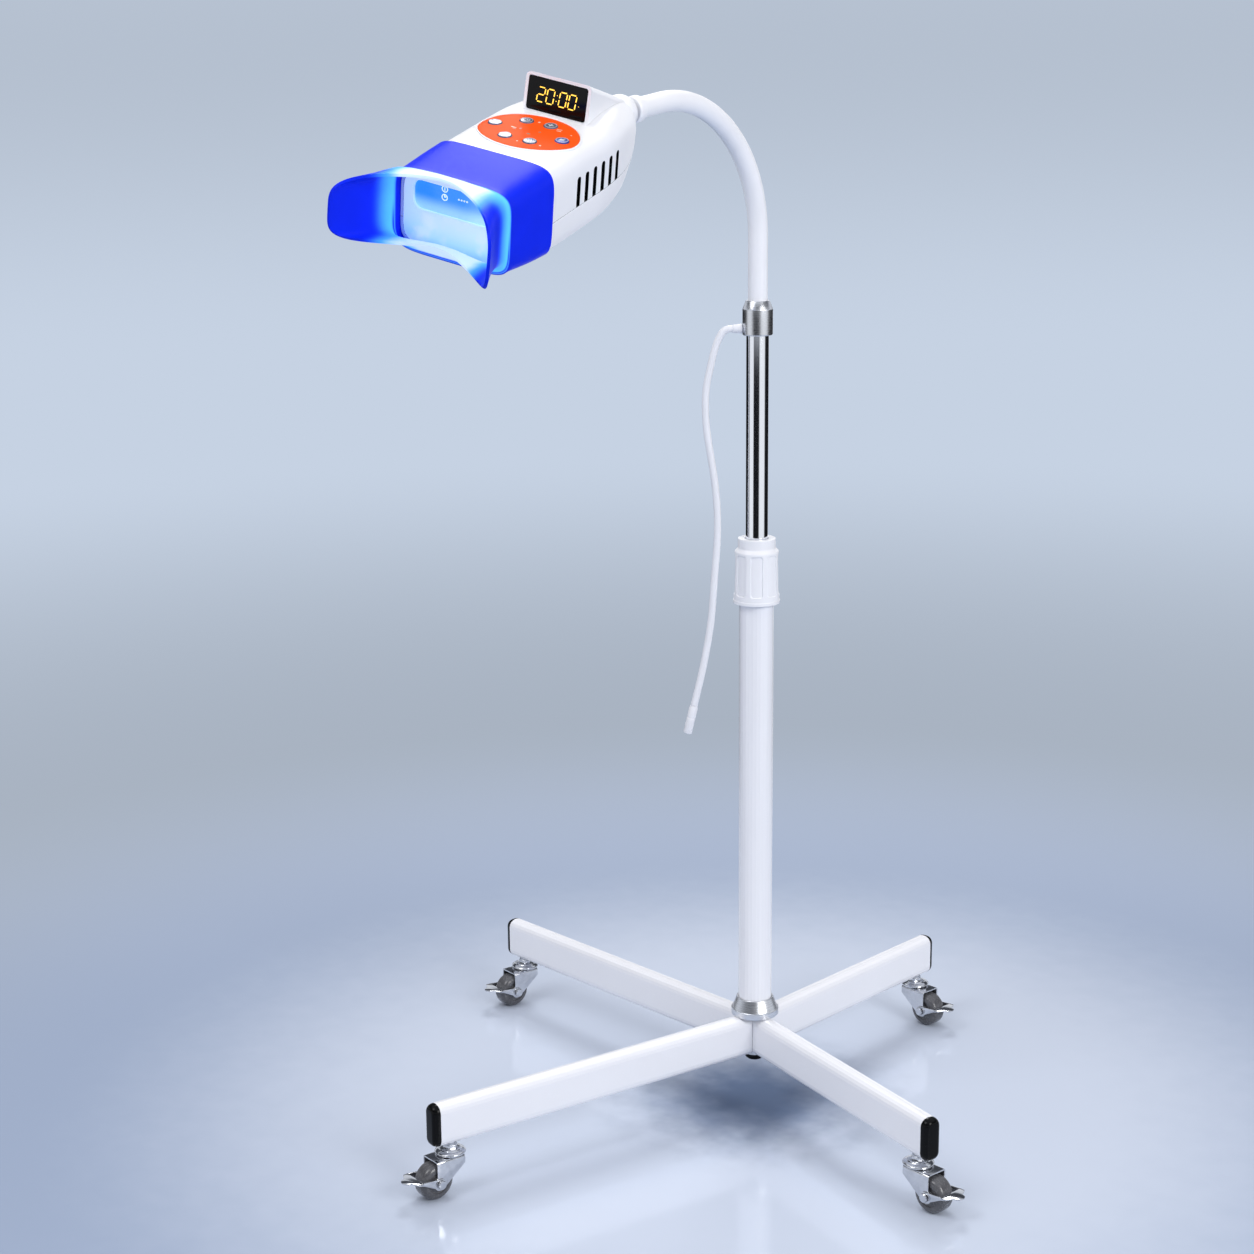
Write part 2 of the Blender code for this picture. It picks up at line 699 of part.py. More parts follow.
def fork_outline():
    """Side of the fork: crown, upright rear edge, slant down to the axle's eye, upright front."""
    rear = (-FORK_REAR, CROWN_TOP - FORK_REAR_DEPTH)
    to_rear = (rear[0] - CASTER_TRAIL, rear[1] - WHEEL_RADIUS)
    slant = math.acos(FORK_EYE_RADIUS / math.hypot(*to_rear))
    start = math.atan2(to_rear[1], to_rear[0]) + slant
    end = 2 * math.pi + math.acos(FORK_FRONT / FORK_EYE_RADIUS)
    outline = [(-FORK_REAR, CROWN_TOP), rear]
    outline += arc((CASTER_TRAIL, WHEEL_RADIUS), FORK_EYE_RADIUS, start, end, 9)
    return [*outline, (CASTER_TRAIL + FORK_FRONT, CROWN_TOP)]


def build_caster(shop, side, turn, root, stem_place):
    swivel = shop.empty("swivel_" + side, Matrix.Translation(stem_place) @ flat_turn(turn), root)
    hub = Matrix.Translation((CASTER_TRAIL, 0, WHEEL_RADIUS))
    axle = shop.empty("axle_axis_" + side, hub, swivel)
    sideways = along((0, 1, 0))
    upright = Matrix.Rotation(math.pi / 2, 4, "X")

    # The fork is a channel over the wheel: a side outline through its whole width, less the slot,
    # with the axle riveted across it
    body = prism([fork_outline()], 2 * FORK_OUTER)
    fork = shop.piece("caster_fork_" + side, moved(body, Matrix.Translation((0, FORK_OUTER, 0)) @ upright),
                      "zinc_steel", swivel)
    cut(shop, fork, box((-FORK_REAR - OVERRUN, -FORK_INNER, -OVERRUN),
                        (CASTER_TRAIL + FORK_FRONT + OVERRUN, FORK_INNER, CROWN_UNDER)))
    cut(shop, fork, cylinder(STEM_NECK_RADIUS + GAP, CROWN_UNDER - OVERRUN, CROWN_TOP + OVERRUN, SMALL))
    head = BRAKE_OUTER + GAP
    end = head + AXLE_HEAD_HEIGHT
    profile = [(0, end), (AXLE_HEAD_RADIUS, end), (AXLE_HEAD_RADIUS, head), (AXLE_RADIUS, head),
               (AXLE_RADIUS, -head), (AXLE_HEAD_RADIUS, -head), (AXLE_HEAD_RADIUS, -end), (0, -end)]
    add(shop, fork, turned(profile, SMALL), hub @ sideways)

    half = WHEEL_WIDTH / 2
    bore = AXLE_RADIUS + GAP
    corner = (WHEEL_RADIUS - WHEEL_EDGE, half - WHEEL_EDGE)
    tread = arc(corner, WHEEL_EDGE, math.pi / 2, 0, 3)
    profile = [*tread, *((radius, -height) for radius, height in reversed(tread))]
    profile += [(bore, -half), (bore, half)]
    wheel = turned(profile, WHEEL_STEPS, hollow=True)
    shop.piece("caster_wheel_" + side, wheel, "dark_wheel", axle, upright)

    # The brake is one stamping: two ears on the axle and a tab across the front of the wheel
    near, far = BRAKE_TAB_INNER, BRAKE_TAB_INNER + BRAKE_EYE_RADIUS
    ear = arc((0, 0), BRAKE_EYE_RADIUS, BRAKE_EYE_START, BRAKE_EYE_END, 8)
    ear += [(near, BRAKE_TAB_LIFT - BRAKE_PLATE), (far, BRAKE_TAB_LIFT),
            (far, BRAKE_TAB_LIFT + BRAKE_PLATE), (near, BRAKE_TAB_LIFT + BRAKE_PLATE)]
    tip = BRAKE_TAB_OUTER - BRAKE_TIP_WIDTH / 2
    tab = [(near, -BRAKE_OUTER), (far, -BRAKE_OUTER)]
    tab += arc((tip, 0), BRAKE_TIP_WIDTH / 2, -math.pi / 2, math.pi / 2, 8)
    tab += [(far, BRAKE_OUTER), (near, BRAKE_OUTER)]
    plate = moved(prism([tab], BRAKE_PLATE), Matrix.Translation(UP * BRAKE_TAB_LIFT))
    brake = shop.piece("caster_brake_" + side, plate, "zinc_steel", axle)
    for place in (BRAKE_OUTER, -BRAKE_INNER):
        add(shop, brake, moved(prism([ear], BRAKE_PLATE), Matrix.Translation((0, place, 0)) @ upright))
    eye = cylinder(AXLE_RADIUS + GAP, -BRAKE_OUTER - OVERRUN, BRAKE_OUTER + OVERRUN, SMALL)
    cut(shop, brake, eye, sideways)


# Base

def leg_outline(inset):
    return rounded_box(LEG_HEIGHT / 2 - inset, LEG_WIDTH / 2 - inset, LEG_CORNER - inset)


def leg_bar(inset, length):
    """A bar with the leg's section, drawn in by inset, along +X from the pole's axis."""
    lie = Matrix.Rotation(math.pi / 2, 4, "Y")
    return moved(prism([leg_outline(inset)], length), lie)


def build_leg(shop, index, root):
    side, angle, length, _ = LEGS[index]
    before = LEGS[index - 1][1]
    after = LEGS[(index + 1) % len(LEGS)][1]
    place = Matrix.Translation((0, 0, LEG_MIDDLE)) @ flat_turn(angle)
    lie = Matrix.Rotation(math.pi / 2, 4, "Y")
    mesh = moved(prism([leg_outline(0), leg_outline(LEG_WALL)], length), lie)
    leg = shop.piece("leg_" + side, mesh, "white_paint", root, place)

    # Mitred to both neighbours: kept is the wedge between the lines half way to them
    turns = []
    for other in (before, after):
        turn = (other - angle) % (2 * math.pi)
        turns.append(turn if turn < math.pi else turn - 2 * math.pi)
    left, right = max(turns) / 2, min(turns) / 2
    far = length + OVERRUN
    inset = GAP / 2
    apex = inset / min(math.sin(left), math.sin(-right))
    wedge = [(apex, 0), (far, (far - apex) * math.tan(right)), (far, (far - apex) * math.tan(left))]
    deep = LEG_HEIGHT + OVERRUN
    keep(shop, leg, moved(prism([wedge], deep), Matrix.Translation((0, 0, -deep / 2))))
    cut(shop, leg, cylinder(HUB_RADIUS + GAP, -LEG_HEIGHT, LEG_HEIGHT, MEDIUM))

    hole = cylinder(STEM_RADIUS + GAP, -LEG_HEIGHT / 2 - OVERRUN, -LEG_HEIGHT / 2 + OVERRUN, SMALL)
    cut(shop, leg, hole, Matrix.Translation((length - STEM_INSET, 0, 0)))
    return place


def build_base(shop, root):
    places = [build_leg(shop, index, root) for index in range(len(LEGS))]

    # End caps: a dome over the tube's end and a plug inside it
    dome = []
    for step in range(CAP_STEPS):
        angle = step / CAP_STEPS * math.pi / 2
        reach = CAP_DOME * math.sin(angle)
        outline = leg_outline(CAP_ROUNDING * (1 - math.cos(angle)))
        dome.append([(reach, across, -rise) for rise, across in outline])
    dome.append([(CAP_DOME, across, -rise) for rise, across in leg_outline(CAP_ROUNDING)])
    cap = shop.piece("cap", loft(dome, True), "black_plastic", None)
    plug = leg_bar(LEG_WALL + GAP, CAP_PLUG + CAP_DOME / 2)
    add(shop, cap, moved(plug, Matrix.Translation((-CAP_PLUG, 0, 0))))
    cap_mesh = evaluated_mesh(cap)
    for (side, _, length, _), place in zip(LEGS, places):
        end = place @ Matrix.Translation((length + GAP, 0, 0))
        shop.piece("leg_cap_" + side, cap_mesh, "black_plastic", root, end)

    # Cast hub: a core between the mitred legs, a tongue in each leg and a spigot in the pole
    spigot = POLE_BORE - GAP
    top = POLE_FOOT + SPIGOT_LENGTH
    profile = ((0, top), (spigot, top), (spigot, POLE_FOOT), (HUB_RADIUS, POLE_FOOT),
               (HUB_RADIUS, LEG_FOOT), (0, LEG_FOOT))
    hub = shop.piece("hub_core", turned(profile, MEDIUM), "zinc_steel", root)
    for place in places:
        add(shop, hub, leg_bar(LEG_WALL + GAP, TONGUE_REACH), place)
    cut(shop, hub, cylinder(HUB_PLUG_STEM_RADIUS + GAP, LEG_FOOT - OVERRUN,
                            LEG_FOOT + HUB_PLUG_STEM + OVERRUN, SMALL))

    foot = LEG_FOOT - GAP
    profile = ((0, foot + HUB_PLUG_STEM), (HUB_PLUG_STEM_RADIUS, foot + HUB_PLUG_STEM),
               (HUB_PLUG_STEM_RADIUS, foot), (HUB_PLUG_RADIUS, foot),
               (HUB_PLUG_RADIUS, foot - HUB_PLUG_HEIGHT + HUB_PLUG_CHAMFER),
               (HUB_PLUG_RADIUS - HUB_PLUG_CHAMFER, foot - HUB_PLUG_HEIGHT), (0, foot - HUB_PLUG_HEIGHT))
    shop.piece("hub_plug", turned(profile, MEDIUM), "black_plastic", root)

    band = POLE_FOOT + FLANGE_BAND_HEIGHT
    rim = band + FLANGE_CONE_HEIGHT
    bore = POLE_RADIUS + GAP
    profile = ((FLANGE_RIM_RADIUS, rim), (FLANGE_CONE_RADIUS, band), (FLANGE_BAND_RADIUS, band),
               (FLANGE_BAND_RADIUS, POLE_FOOT), (bore, POLE_FOOT), (bore, rim))
    shop.piece("base_flange", turned(profile, FINE, hollow=True), "chrome", root)

    # Casters
    stem = build_stem_mesh(shop)
    for side, angle, length, turn in LEGS:
        reach = length - STEM_INSET
        spot = Vector((reach * math.cos(angle), reach * math.sin(angle), 0))
        shop.piece("caster_stem_" + side, stem, "zinc_steel", root, Matrix.Translation(spot))
        build_caster(shop, side, turn, root, spot)


# Pole, clamp and sliding mast

def build_pole(shop, root):
    pole = ring(POLE_RADIUS, POLE_BORE, POLE_FOOT, POLE_TOP, FINE)
    shop.piece("outer_tube", pole, "white_paint", root)

    seat = POLE_TOP + GAP
    flange = seat + BUSH_FLANGE
    outer = POLE_BORE - GAP
    profile = ((BUSH_NECK_RADIUS, BUSH_TOP), (BUSH_NECK_RADIUS, flange), (POLE_RADIUS, flange),
               (POLE_RADIUS, seat), (outer, seat), (outer, POLE_TOP - BUSH_DEPTH),
               (TUBE_HOLE, POLE_TOP - BUSH_DEPTH), (TUBE_HOLE, BUSH_TOP))
    shop.piece("tube_bush", turned(profile, MEDIUM, hollow=True), "white_plastic", root)

    foot = BUSH_TOP + GAP
    profile = ((COLLET_TIP_RADIUS, COLLET_TOP), (COLLET_RADIUS, foot), (TUBE_HOLE, foot),
               (TUBE_HOLE, COLLET_TOP))
    collet = shop.piece("clamp_collet", turned(profile, MEDIUM, hollow=True), "white_plastic", root)
    cut(shop, collet, box((0, -COLLET_SLIT / 2, foot - OVERRUN),
                          (COLLET_RADIUS + OVERRUN, COLLET_SLIT / 2, COLLET_TOP + OVERRUN)))

    shoulder = NUT_FOOT + NUT_BODY_HEIGHT
    ring_foot = shoulder + NUT_CHAMFER
    ceiling = COLLET_TOP + GAP
    bore = POLE_RADIUS + GAP
    mouth = TUBE_RADIUS + NUT_TUBE_ROOM
    profile = ((NUT_RING_RADIUS - NUT_RING_LIP, NUT_TOP), (NUT_RING_RADIUS, NUT_TOP - NUT_RING_LIP),
               (NUT_RING_RADIUS, ring_foot), (NUT_SHOULDER_RADIUS, shoulder),
               (NUT_BODY_RADIUS, NUT_FOOT + NUT_FOOT_HEIGHT),
               (NUT_FOOT_RADIUS, NUT_FOOT + NUT_FOOT_HEIGHT), (NUT_FOOT_RADIUS, NUT_FOOT),
               (bore, NUT_FOOT), (bore, ceiling), (mouth, ceiling), (mouth, NUT_TOP))
    nut = shop.piece("clamp_nut", turned(profile, FINE, hollow=True), "white_plastic", root)
    low = NUT_FOOT + NUT_FOOT_HEIGHT + NUT_PANEL_MARGIN
    high = shoulder - NUT_PANEL_MARGIN / 2
    outline = rounded_box((high - low) / 2, NUT_PANEL_WIDTH / 2, NUT_PANEL_CORNER, 3)
    panel = moved(prism([outline], OVERRUN), Matrix.Rotation(-math.pi / 2, 4, "Y"))
    reach = (NUT_BODY_RADIUS + NUT_SHOULDER_RADIUS) / 2 - NUT_PANEL_DEPTH + OVERRUN
    spots = [flat_turn(NUT_PANEL_TURN + 2 * math.pi * step / NUT_PANELS)
             @ Matrix.Translation((reach, 0, (low + high) / 2)) for step in range(NUT_PANELS)]
    cut(shop, nut, copies(panel, spots))


def build_mast(shop, mast):
    glide_foot = TUBE_FOOT - GAP - GLIDE_FLOOR
    outer = POLE_BORE - GAP
    profile = ((outer, glide_foot + GLIDE_HEIGHT), (outer, glide_foot), (GLIDE_FLOOR_BORE, glide_foot),
               (GLIDE_FLOOR_BORE, TUBE_FOOT - GAP), (TUBE_HOLE, TUBE_FOOT - GAP),
               (TUBE_HOLE, glide_foot + GLIDE_HEIGHT))
    shop.piece("mast_glide", turned(profile, MEDIUM, hollow=True), "black_plastic", mast)
    tube_mesh = ring(TUBE_RADIUS, TUBE_RADIUS - TUBE_WALL, TUBE_FOOT, TUBE_TOP, FINE)
    shop.piece("inner_tube", tube_mesh, "chrome", mast)

    top = COLLAR_FOOT + COLLAR_LENGTH
    web = TUBE_TOP + GAP
    seat = web + COLLAR_WEB
    hole = NECK_RADIUS + GAP
    profile = ((COLLAR_RADIUS - COLLAR_CHAMFER, top), (COLLAR_RADIUS, top - COLLAR_TAPER),
               (COLLAR_RADIUS, COLLAR_FOOT + COLLAR_LIP), (COLLAR_RADIUS - COLLAR_LIP, COLLAR_FOOT),
               (TUBE_HOLE, COLLAR_FOOT), (TUBE_HOLE, web), (COLLAR_WEB_BORE, web),
               (COLLAR_WEB_BORE, seat), (hole, seat), (hole, top))
    collar = shop.piece("top_collar", turned(profile, FINE, hollow=True), "chrome", mast)
    side = flat_turn(LEAD_TURN) @ Matrix.Translation((0, 0, COLLAR_FOOT + LEAD_DROP)) @ along((1, 0, 0))
    way = cylinder(GROMMET_STEM_RADIUS + GAP, COLLAR_WEB_BORE, COLLAR_RADIUS + OVERRUN, SMALL)
    cut(shop, collar, way, side)

    # Tapered sleeve where the lead leaves the collar
    flange = COLLAR_RADIUS + GAP
    tip = flange + GROMMET_FLANGE + GROMMET_LENGTH
    seat = TUBE_RADIUS + GROMMET_SEAT
    profile = ((0, tip), (GROMMET_TIP_RADIUS, tip), (GROMMET_ROOT_RADIUS, flange + GROMMET_FLANGE),
               (GROMMET_FLANGE_RADIUS, flange), (GROMMET_STEM_RADIUS, flange),
               (GROMMET_STEM_RADIUS, seat), (0, seat))
    shop.piece("cord_grommet", turned(profile, KNOB_STEPS), "white_plastic", mast, side)

    # The power lead hangs free from the grommet to its in-line connector
    outward = Vector((math.cos(LEAD_TURN), math.sin(LEAD_TURN), 0))
    exit_point = outward * (tip + GAP) + UP * (COLLAR_FOOT + LEAD_DROP)
    shift = exit_point + outward * LEAD_RADIUS - (outward * LEAD_ROUTE[0][0] + UP * LEAD_ROUTE[0][1])
    points = [outward * reach + UP * height + shift for reach, height in LEAD_ROUTE]
    route = [exit_point, *smooth_route(points, LEAD_SAMPLES)]
    shop.piece("power_lead", tube(route, LEAD_RADIUS, 2), "lead_white", mast)

    ending = (route[-1] - route[-2]).normalized()
    start = Matrix.Translation(route[-1] + ending * GAP) @ along(ending)
    mouth = CONNECTOR_LENGTH - CONNECTOR_BORE_DEPTH
    pin = mouth + CONNECTOR_PIN_LENGTH
    profile = ((0, pin), (CONNECTOR_PIN_RADIUS, pin), (CONNECTOR_PIN_RADIUS, mouth),
               (CONNECTOR_BORE, mouth), (CONNECTOR_BORE, CONNECTOR_LENGTH),
               (CONNECTOR_RADIUS, CONNECTOR_LENGTH), (CONNECTOR_RADIUS, CONNECTOR_TAPER),
               (LEAD_RADIUS, 0), (0, 0))
    shop.piece("lead_connector", turned(profile, SMALL), "lead_white", mast, start)


# Flexible neck

def neck_way(turn):
    """Direction of the centre line."""
    bend = min(max(turn, 0), NECK_BEND)
    return Vector((0, -math.sin(bend), math.cos(bend)))


def neck_point(turn):
    """Point on the neck's centre line, which runs on straight before and after its bend."""
    bend = min(max(turn, 0), NECK_BEND)
    point = Vector((0, math.cos(bend) - 1, math.sin(bend))) + neck_way(turn) * (turn - bend)
    return point * NECK_BEND_RADIUS + UP * BEND_FOOT


def neck_bar(start, end):
    """Solid bar along the centre line between two turns."""
    steps = max(2, math.ceil((end - start) / NECK_STEP))
    points = [neck_point(start + (end - start) * step / steps) for step in range(1, steps)]
    first, last = neck_point(start), neck_point(end)
    ends = (first, first + neck_way(start) * NECK_END), (last - neck_way(end) * NECK_END, last)
    return tube([*ends[0], *points, *ends[1]], NECK_RADIUS, 5)


def build_neck(shop, mast):
    """Three lengths of flexible tube, joined at two bends by a ball and a cup."""
    back = BEND_NECK_BACK / NECK_BEND_RADIUS
    fore = BEND_NECK_FORE / NECK_BEND_RADIUS
    foot = (NECK_FOOT - BEND_FOOT) / NECK_BEND_RADIUS
    stretches = (
        ("gooseneck_lower", foot, LOW_BEND_AT - back, None, LOW_BEND_AT),
        ("gooseneck_middle", LOW_BEND_AT + fore, HIGH_BEND_AT - back, LOW_BEND_AT, HIGH_BEND_AT),
        ("gooseneck_upper", HIGH_BEND_AT + fore, NECK_END_TURN, HIGH_BEND_AT, None),
    )
    for name, start, end, cup, knuckle in stretches:
        piece = shop.piece(name, neck_bar(start, end), "white_plastic", mast)
        if knuckle is not None:
            add(shop, piece, ball(BEND_BALL_RADIUS, KNOB_STEPS), Matrix.Translation(neck_point(knuckle)))
        if cup is not None:
            hollow = ball(BEND_BALL_RADIUS + BEND_CUP_ROOM, KNOB_STEPS)
            cut(shop, piece, hollow, Matrix.Translation(neck_point(cup)))
    for name, turn in (("low_bend_axis", LOW_BEND_AT), ("high_bend_axis", HIGH_BEND_AT)):
        shop.empty(name, Matrix.Translation(neck_point(turn)), mast)


# Lamp head

def head_section(reach):
    """Half width, top, bottom and power of the head's section at a distance from the ball."""
    share = reach / HEAD_NOSE
    stations = list(reversed(HEAD_SHARES))
    for near, far in zip(stations, stations[1:]):
        if share <= far[0]:
            break
    blend = min(max((share - near[0]) / (far[0] - near[0]), 0), 1)
    width, top, bottom, power = (a + (b - a) * blend for a, b in zip(near[1:], far[1:]))
    return HALF_HEAD * width, HEAD_TOP * top, HEAD_BOTTOM * bottom, power


def head_rings(inset, front=0.0, back=0.0):
    """Rings of the head's section, drawn in by inset; the end rings can be moved outwards."""
    reaches = [share[0] * HEAD_NOSE for share in HEAD_SHARES]
    step_start = GUARD_EDGE - SHELL_STEP
    reaches += [step_start, step_start - SHELL_STEP]
    reaches.sort(reverse=True)
    rings = []
    for index, reach in enumerate(reaches):
        half, top, bottom, power = head_section(reach)
        drawn = inset + (SHELL_STEP if reach >= step_start else 0)
        if index == 0:
            reach += front
        if index == len(reaches) - 1:
            reach -= back
        section = squarish(half - drawn, top - drawn, bottom - drawn, power, HEAD_RING)
        rings.append([(x, -reach, z) for x, z in section])
    return rings


def crown_height(x, reach):
    """Height of the head's skin over a place on its top."""
    half, top, bottom, power = head_section(reach)
    share = (1 - (abs(x) / half) ** power) ** (1 / power)
    return (top - bottom) / 2 + (top + bottom) / 2 * share


def build_shells(shop, head):
    for name, low, high in (("head_upper_shell", -SEAM_DROP + GAP / 2, 2 * HEAD_TOP),
                            ("head_lower_shell", -2 * HEAD_BOTTOM, -SEAM_DROP - GAP / 2)):
        shell = shop.piece(name, loft(head_rings(0), True), "white_plastic", head)
        side = HEAD_WIDTH
        keep(shop, shell, box((-side, -HEAD_NOSE - OVERRUN, low), (side, OVERRUN, high)))
        cut(shop, shell, loft(head_rings(SHELL_WALL, OVERRUN, OVERRUN), True))
        cut(shop, shell, ball(DOME_RADIUS + GAP, MEDIUM))
        if name == "head_lower_shell":
            continue
        depth = 2 * (SHELL_WALL + OVERRUN)
        outline = rounded_box((VENT_HIGH - VENT_LOW) / 2, VENT_WIDTH / 2, VENT_CORNER, 3)
        slot = moved(prism([outline], depth), Matrix.Rotation(-math.pi / 2, 4, "Y"))
        slots = []
        for side in (-HALF_HEAD, HALF_HEAD):
            for step in range(VENT_COUNT):
                place = -VENT_FIRST - VENT_PITCH * step
                spot = (side + depth / 2, place, (VENT_LOW + VENT_HIGH) / 2)
                slots.append(Matrix.Translation(spot))
        cut(shop, shell, copies(slot, slots))
        deep = PANEL_FLOOR - SHELL_WALL - OVERRUN
        oval = prism([panel_outline(GAP)], HEAD_TOP + OVERRUN - deep)
        cut(shop, shell, moved(oval, Matrix.Translation((0, -PANEL_PLACE, deep))))


def panel_outline(margin):
    points = []
    for step in range(OVAL_STEPS):
        angle = 2 * math.pi * step / OVAL_STEPS
        points.append(((PANEL_HALF_WIDTH + margin) * math.cos(angle),
                       (PANEL_HALF_LENGTH + margin) * math.sin(angle)))
    return points


def build_panel(shop, head):
    """Crowned panel in the shell's oval hole, its buttons, and the board under them."""
    place = Matrix.Translation((0, -PANEL_PLACE, PANEL_FLOOR))
    plate = moved(prism([panel_outline(0)], PANEL_PLATE + OVERRUN), place)
    panel = shop.piece("control_panel", plate, "panel_orange", head)
    keep(shop, panel, loft(head_rings(-PANEL_PROUD), True))
    rim = PANEL_FLOOR - GAP
    holes = []
    for name, side, length in BUTTON_SHARES:
        x, y = side * PANEL_HALF_WIDTH, length * PANEL_HALF_LENGTH - PANEL_PLACE
        top = crown_height(x, -y) + PANEL_PROUD + BUTTON_PROUD
        profile = ((0, top), (BUTTON_RADIUS - BUTTON_EDGE, top), (BUTTON_RADIUS, top - BUTTON_PROUD / 2),
                   (BUTTON_RADIUS, rim), (BUTTON_RADIUS + BUTTON_RIM, rim),
                   (BUTTON_RADIUS + BUTTON_RIM, rim - BUTTON_RIM_HEIGHT),
                   (BUTTON_STEM_RADIUS, rim - BUTTON_RIM_HEIGHT),
                   (BUTTON_STEM_RADIUS, rim - BUTTON_RIM_HEIGHT - BUTTON_STEM),
                   (0, rim - BUTTON_RIM_HEIGHT - BUTTON_STEM))
        slot = "button_blue" if name == "button_start" else "button_grey"
        shop.piece(name, turned(profile, KNOB_STEPS), slot, head, Matrix.Translation((x, y, 0)))
        holes.append(Matrix.Translation((x, y, 0)))
    hole = cylinder(BUTTON_RADIUS + GAP, PANEL_FLOOR - OVERRUN, HEAD_TOP + OVERRUN, KNOB_STEPS)
    cut(shop, panel, copies(hole, holes))

    # Board under the buttons, with a clearance of the button's travel, and its arms
    board_top = rim - BUTTON_RIM_HEIGHT - BUTTON_STEM - BUTTON_TRAVEL - GAP
    board_foot = board_top - BOARD_THICKNESS
    board = box((-BOARD_HALF_WIDTH, -PANEL_PLACE - BOARD_HALF_LENGTH, board_foot),
                (BOARD_HALF_WIDTH, -PANEL_PLACE + BOARD_HALF_LENGTH, board_top))
    piece = shop.piece("control_board", board, "board_green", head)
    add(shop, piece, box((-HALF_HEAD, -PANEL_PLACE - BOARD_ARM / 2, board_foot),
                         (HALF_HEAD, -PANEL_PLACE + BOARD_ARM / 2, board_top)))
    keep(shop, piece, loft(head_rings(SHELL_WALL + GAP, OVERRUN), True))


def hood_block(inset, front_inset):
    """The hood's tapered block, drawn in at its sides, top and rear, and at its front."""
    slope = math.tan(DISPLAY_TILT)
    half = DISPLAY_WIDTH / 2 + HOOD_MARGIN - inset
    high = DISPLAY_LIFT + (DISPLAY_HEIGHT + HOOD_MARGIN) * math.cos(DISPLAY_TILT) - inset
    front = front_inset - DISPLAY_PLACE
    rear = -HOOD_REAR_PLACE - inset
    corners = {
        (-1, -1): (half, front - HOOD_SINK * slope, DISPLAY_LIFT - HOOD_SINK),
        (-1, 1): (half, front + (high - DISPLAY_LIFT) * slope, high),
        (1, -1): (HOOD_REAR_HALF_WIDTH - inset, rear, 0),
        (1, 1): (HOOD_REAR_HALF_WIDTH - inset, rear, HOOD_REAR_HEIGHT - inset),
    }
    mesh = bpy.data.meshes.new("hood")
    work = bmesh.new()
    bmesh.ops.create_cube(work, size=2)
    for vert in work.verts:
        width, y, z = corners[(round(vert.co.y), round(vert.co.z))]
        vert.co = (math.copysign(width, vert.co.x), y, z)
    if not inset:
        edges = [edge for edge in work.edges
                 if max(vert.co.z for vert in edge.verts) > HOOD_REAR_HEIGHT / 2
                 and max(vert.co.y for vert in edge.verts) > -DISPLAY_PLACE / 2]
        bmesh.ops.bevel(work, geom=edges, offset=HOOD_ROUNDING, segments=3, profile=0.5, affect="EDGES")
    work.to_mesh(mesh)
    work.free()
    return mesh


def build_display(shop, head):
    """Hood over the shell's rear half, with the window set in its sloping front."""
    lean = Matrix.Translation((0, -DISPLAY_PLACE, DISPLAY_LIFT)) @ Matrix.Rotation(-DISPLAY_TILT, 4, "X")
    hood = shop.piece("display_hood", hood_block(0, 0), "white_plastic", head)
    cut(shop, hood, loft(head_rings(-GAP, OVERRUN, 0), True))
    cut(shop, hood, ball(DOME_RADIUS + GAP, MEDIUM))
    opening = rounded_box(DISPLAY_WIDTH / 2 + GAP, DISPLAY_HEIGHT / 2 + GAP, HOOD_WALL, 2,
                          (0, DISPLAY_HEIGHT / 2))
    upright = Matrix.Rotation(math.pi / 2, 4, "X")
    pocket = DISPLAY_PLATE + GAP
    window = moved(prism([opening], pocket + OVERRUN), Matrix.Translation((0, pocket, 0)) @ upright)
    cut(shop, hood, window, lean)
    cut(shop, hood, hood_block(HOOD_WALL, pocket + HOOD_WALL))

    pane = rounded_box(DISPLAY_WIDTH / 2, DISPLAY_HEIGHT / 2, HOOD_WALL, 2, (0, DISPLAY_HEIGHT / 2))
    plate = moved(prism([pane], DISPLAY_PLATE), Matrix.Translation((0, DISPLAY_PLATE, 0)) @ upright)
    shop.piece("display_window", plate, "display_black", head, lean)


def head_slab(front, back):
    """A slab across the head between two distances from the ball, larger than the section."""
    return box((-HEAD_WIDTH, -front, -HEAD_BOTTOM), (HEAD_WIDTH, -back, HEAD_TOP))


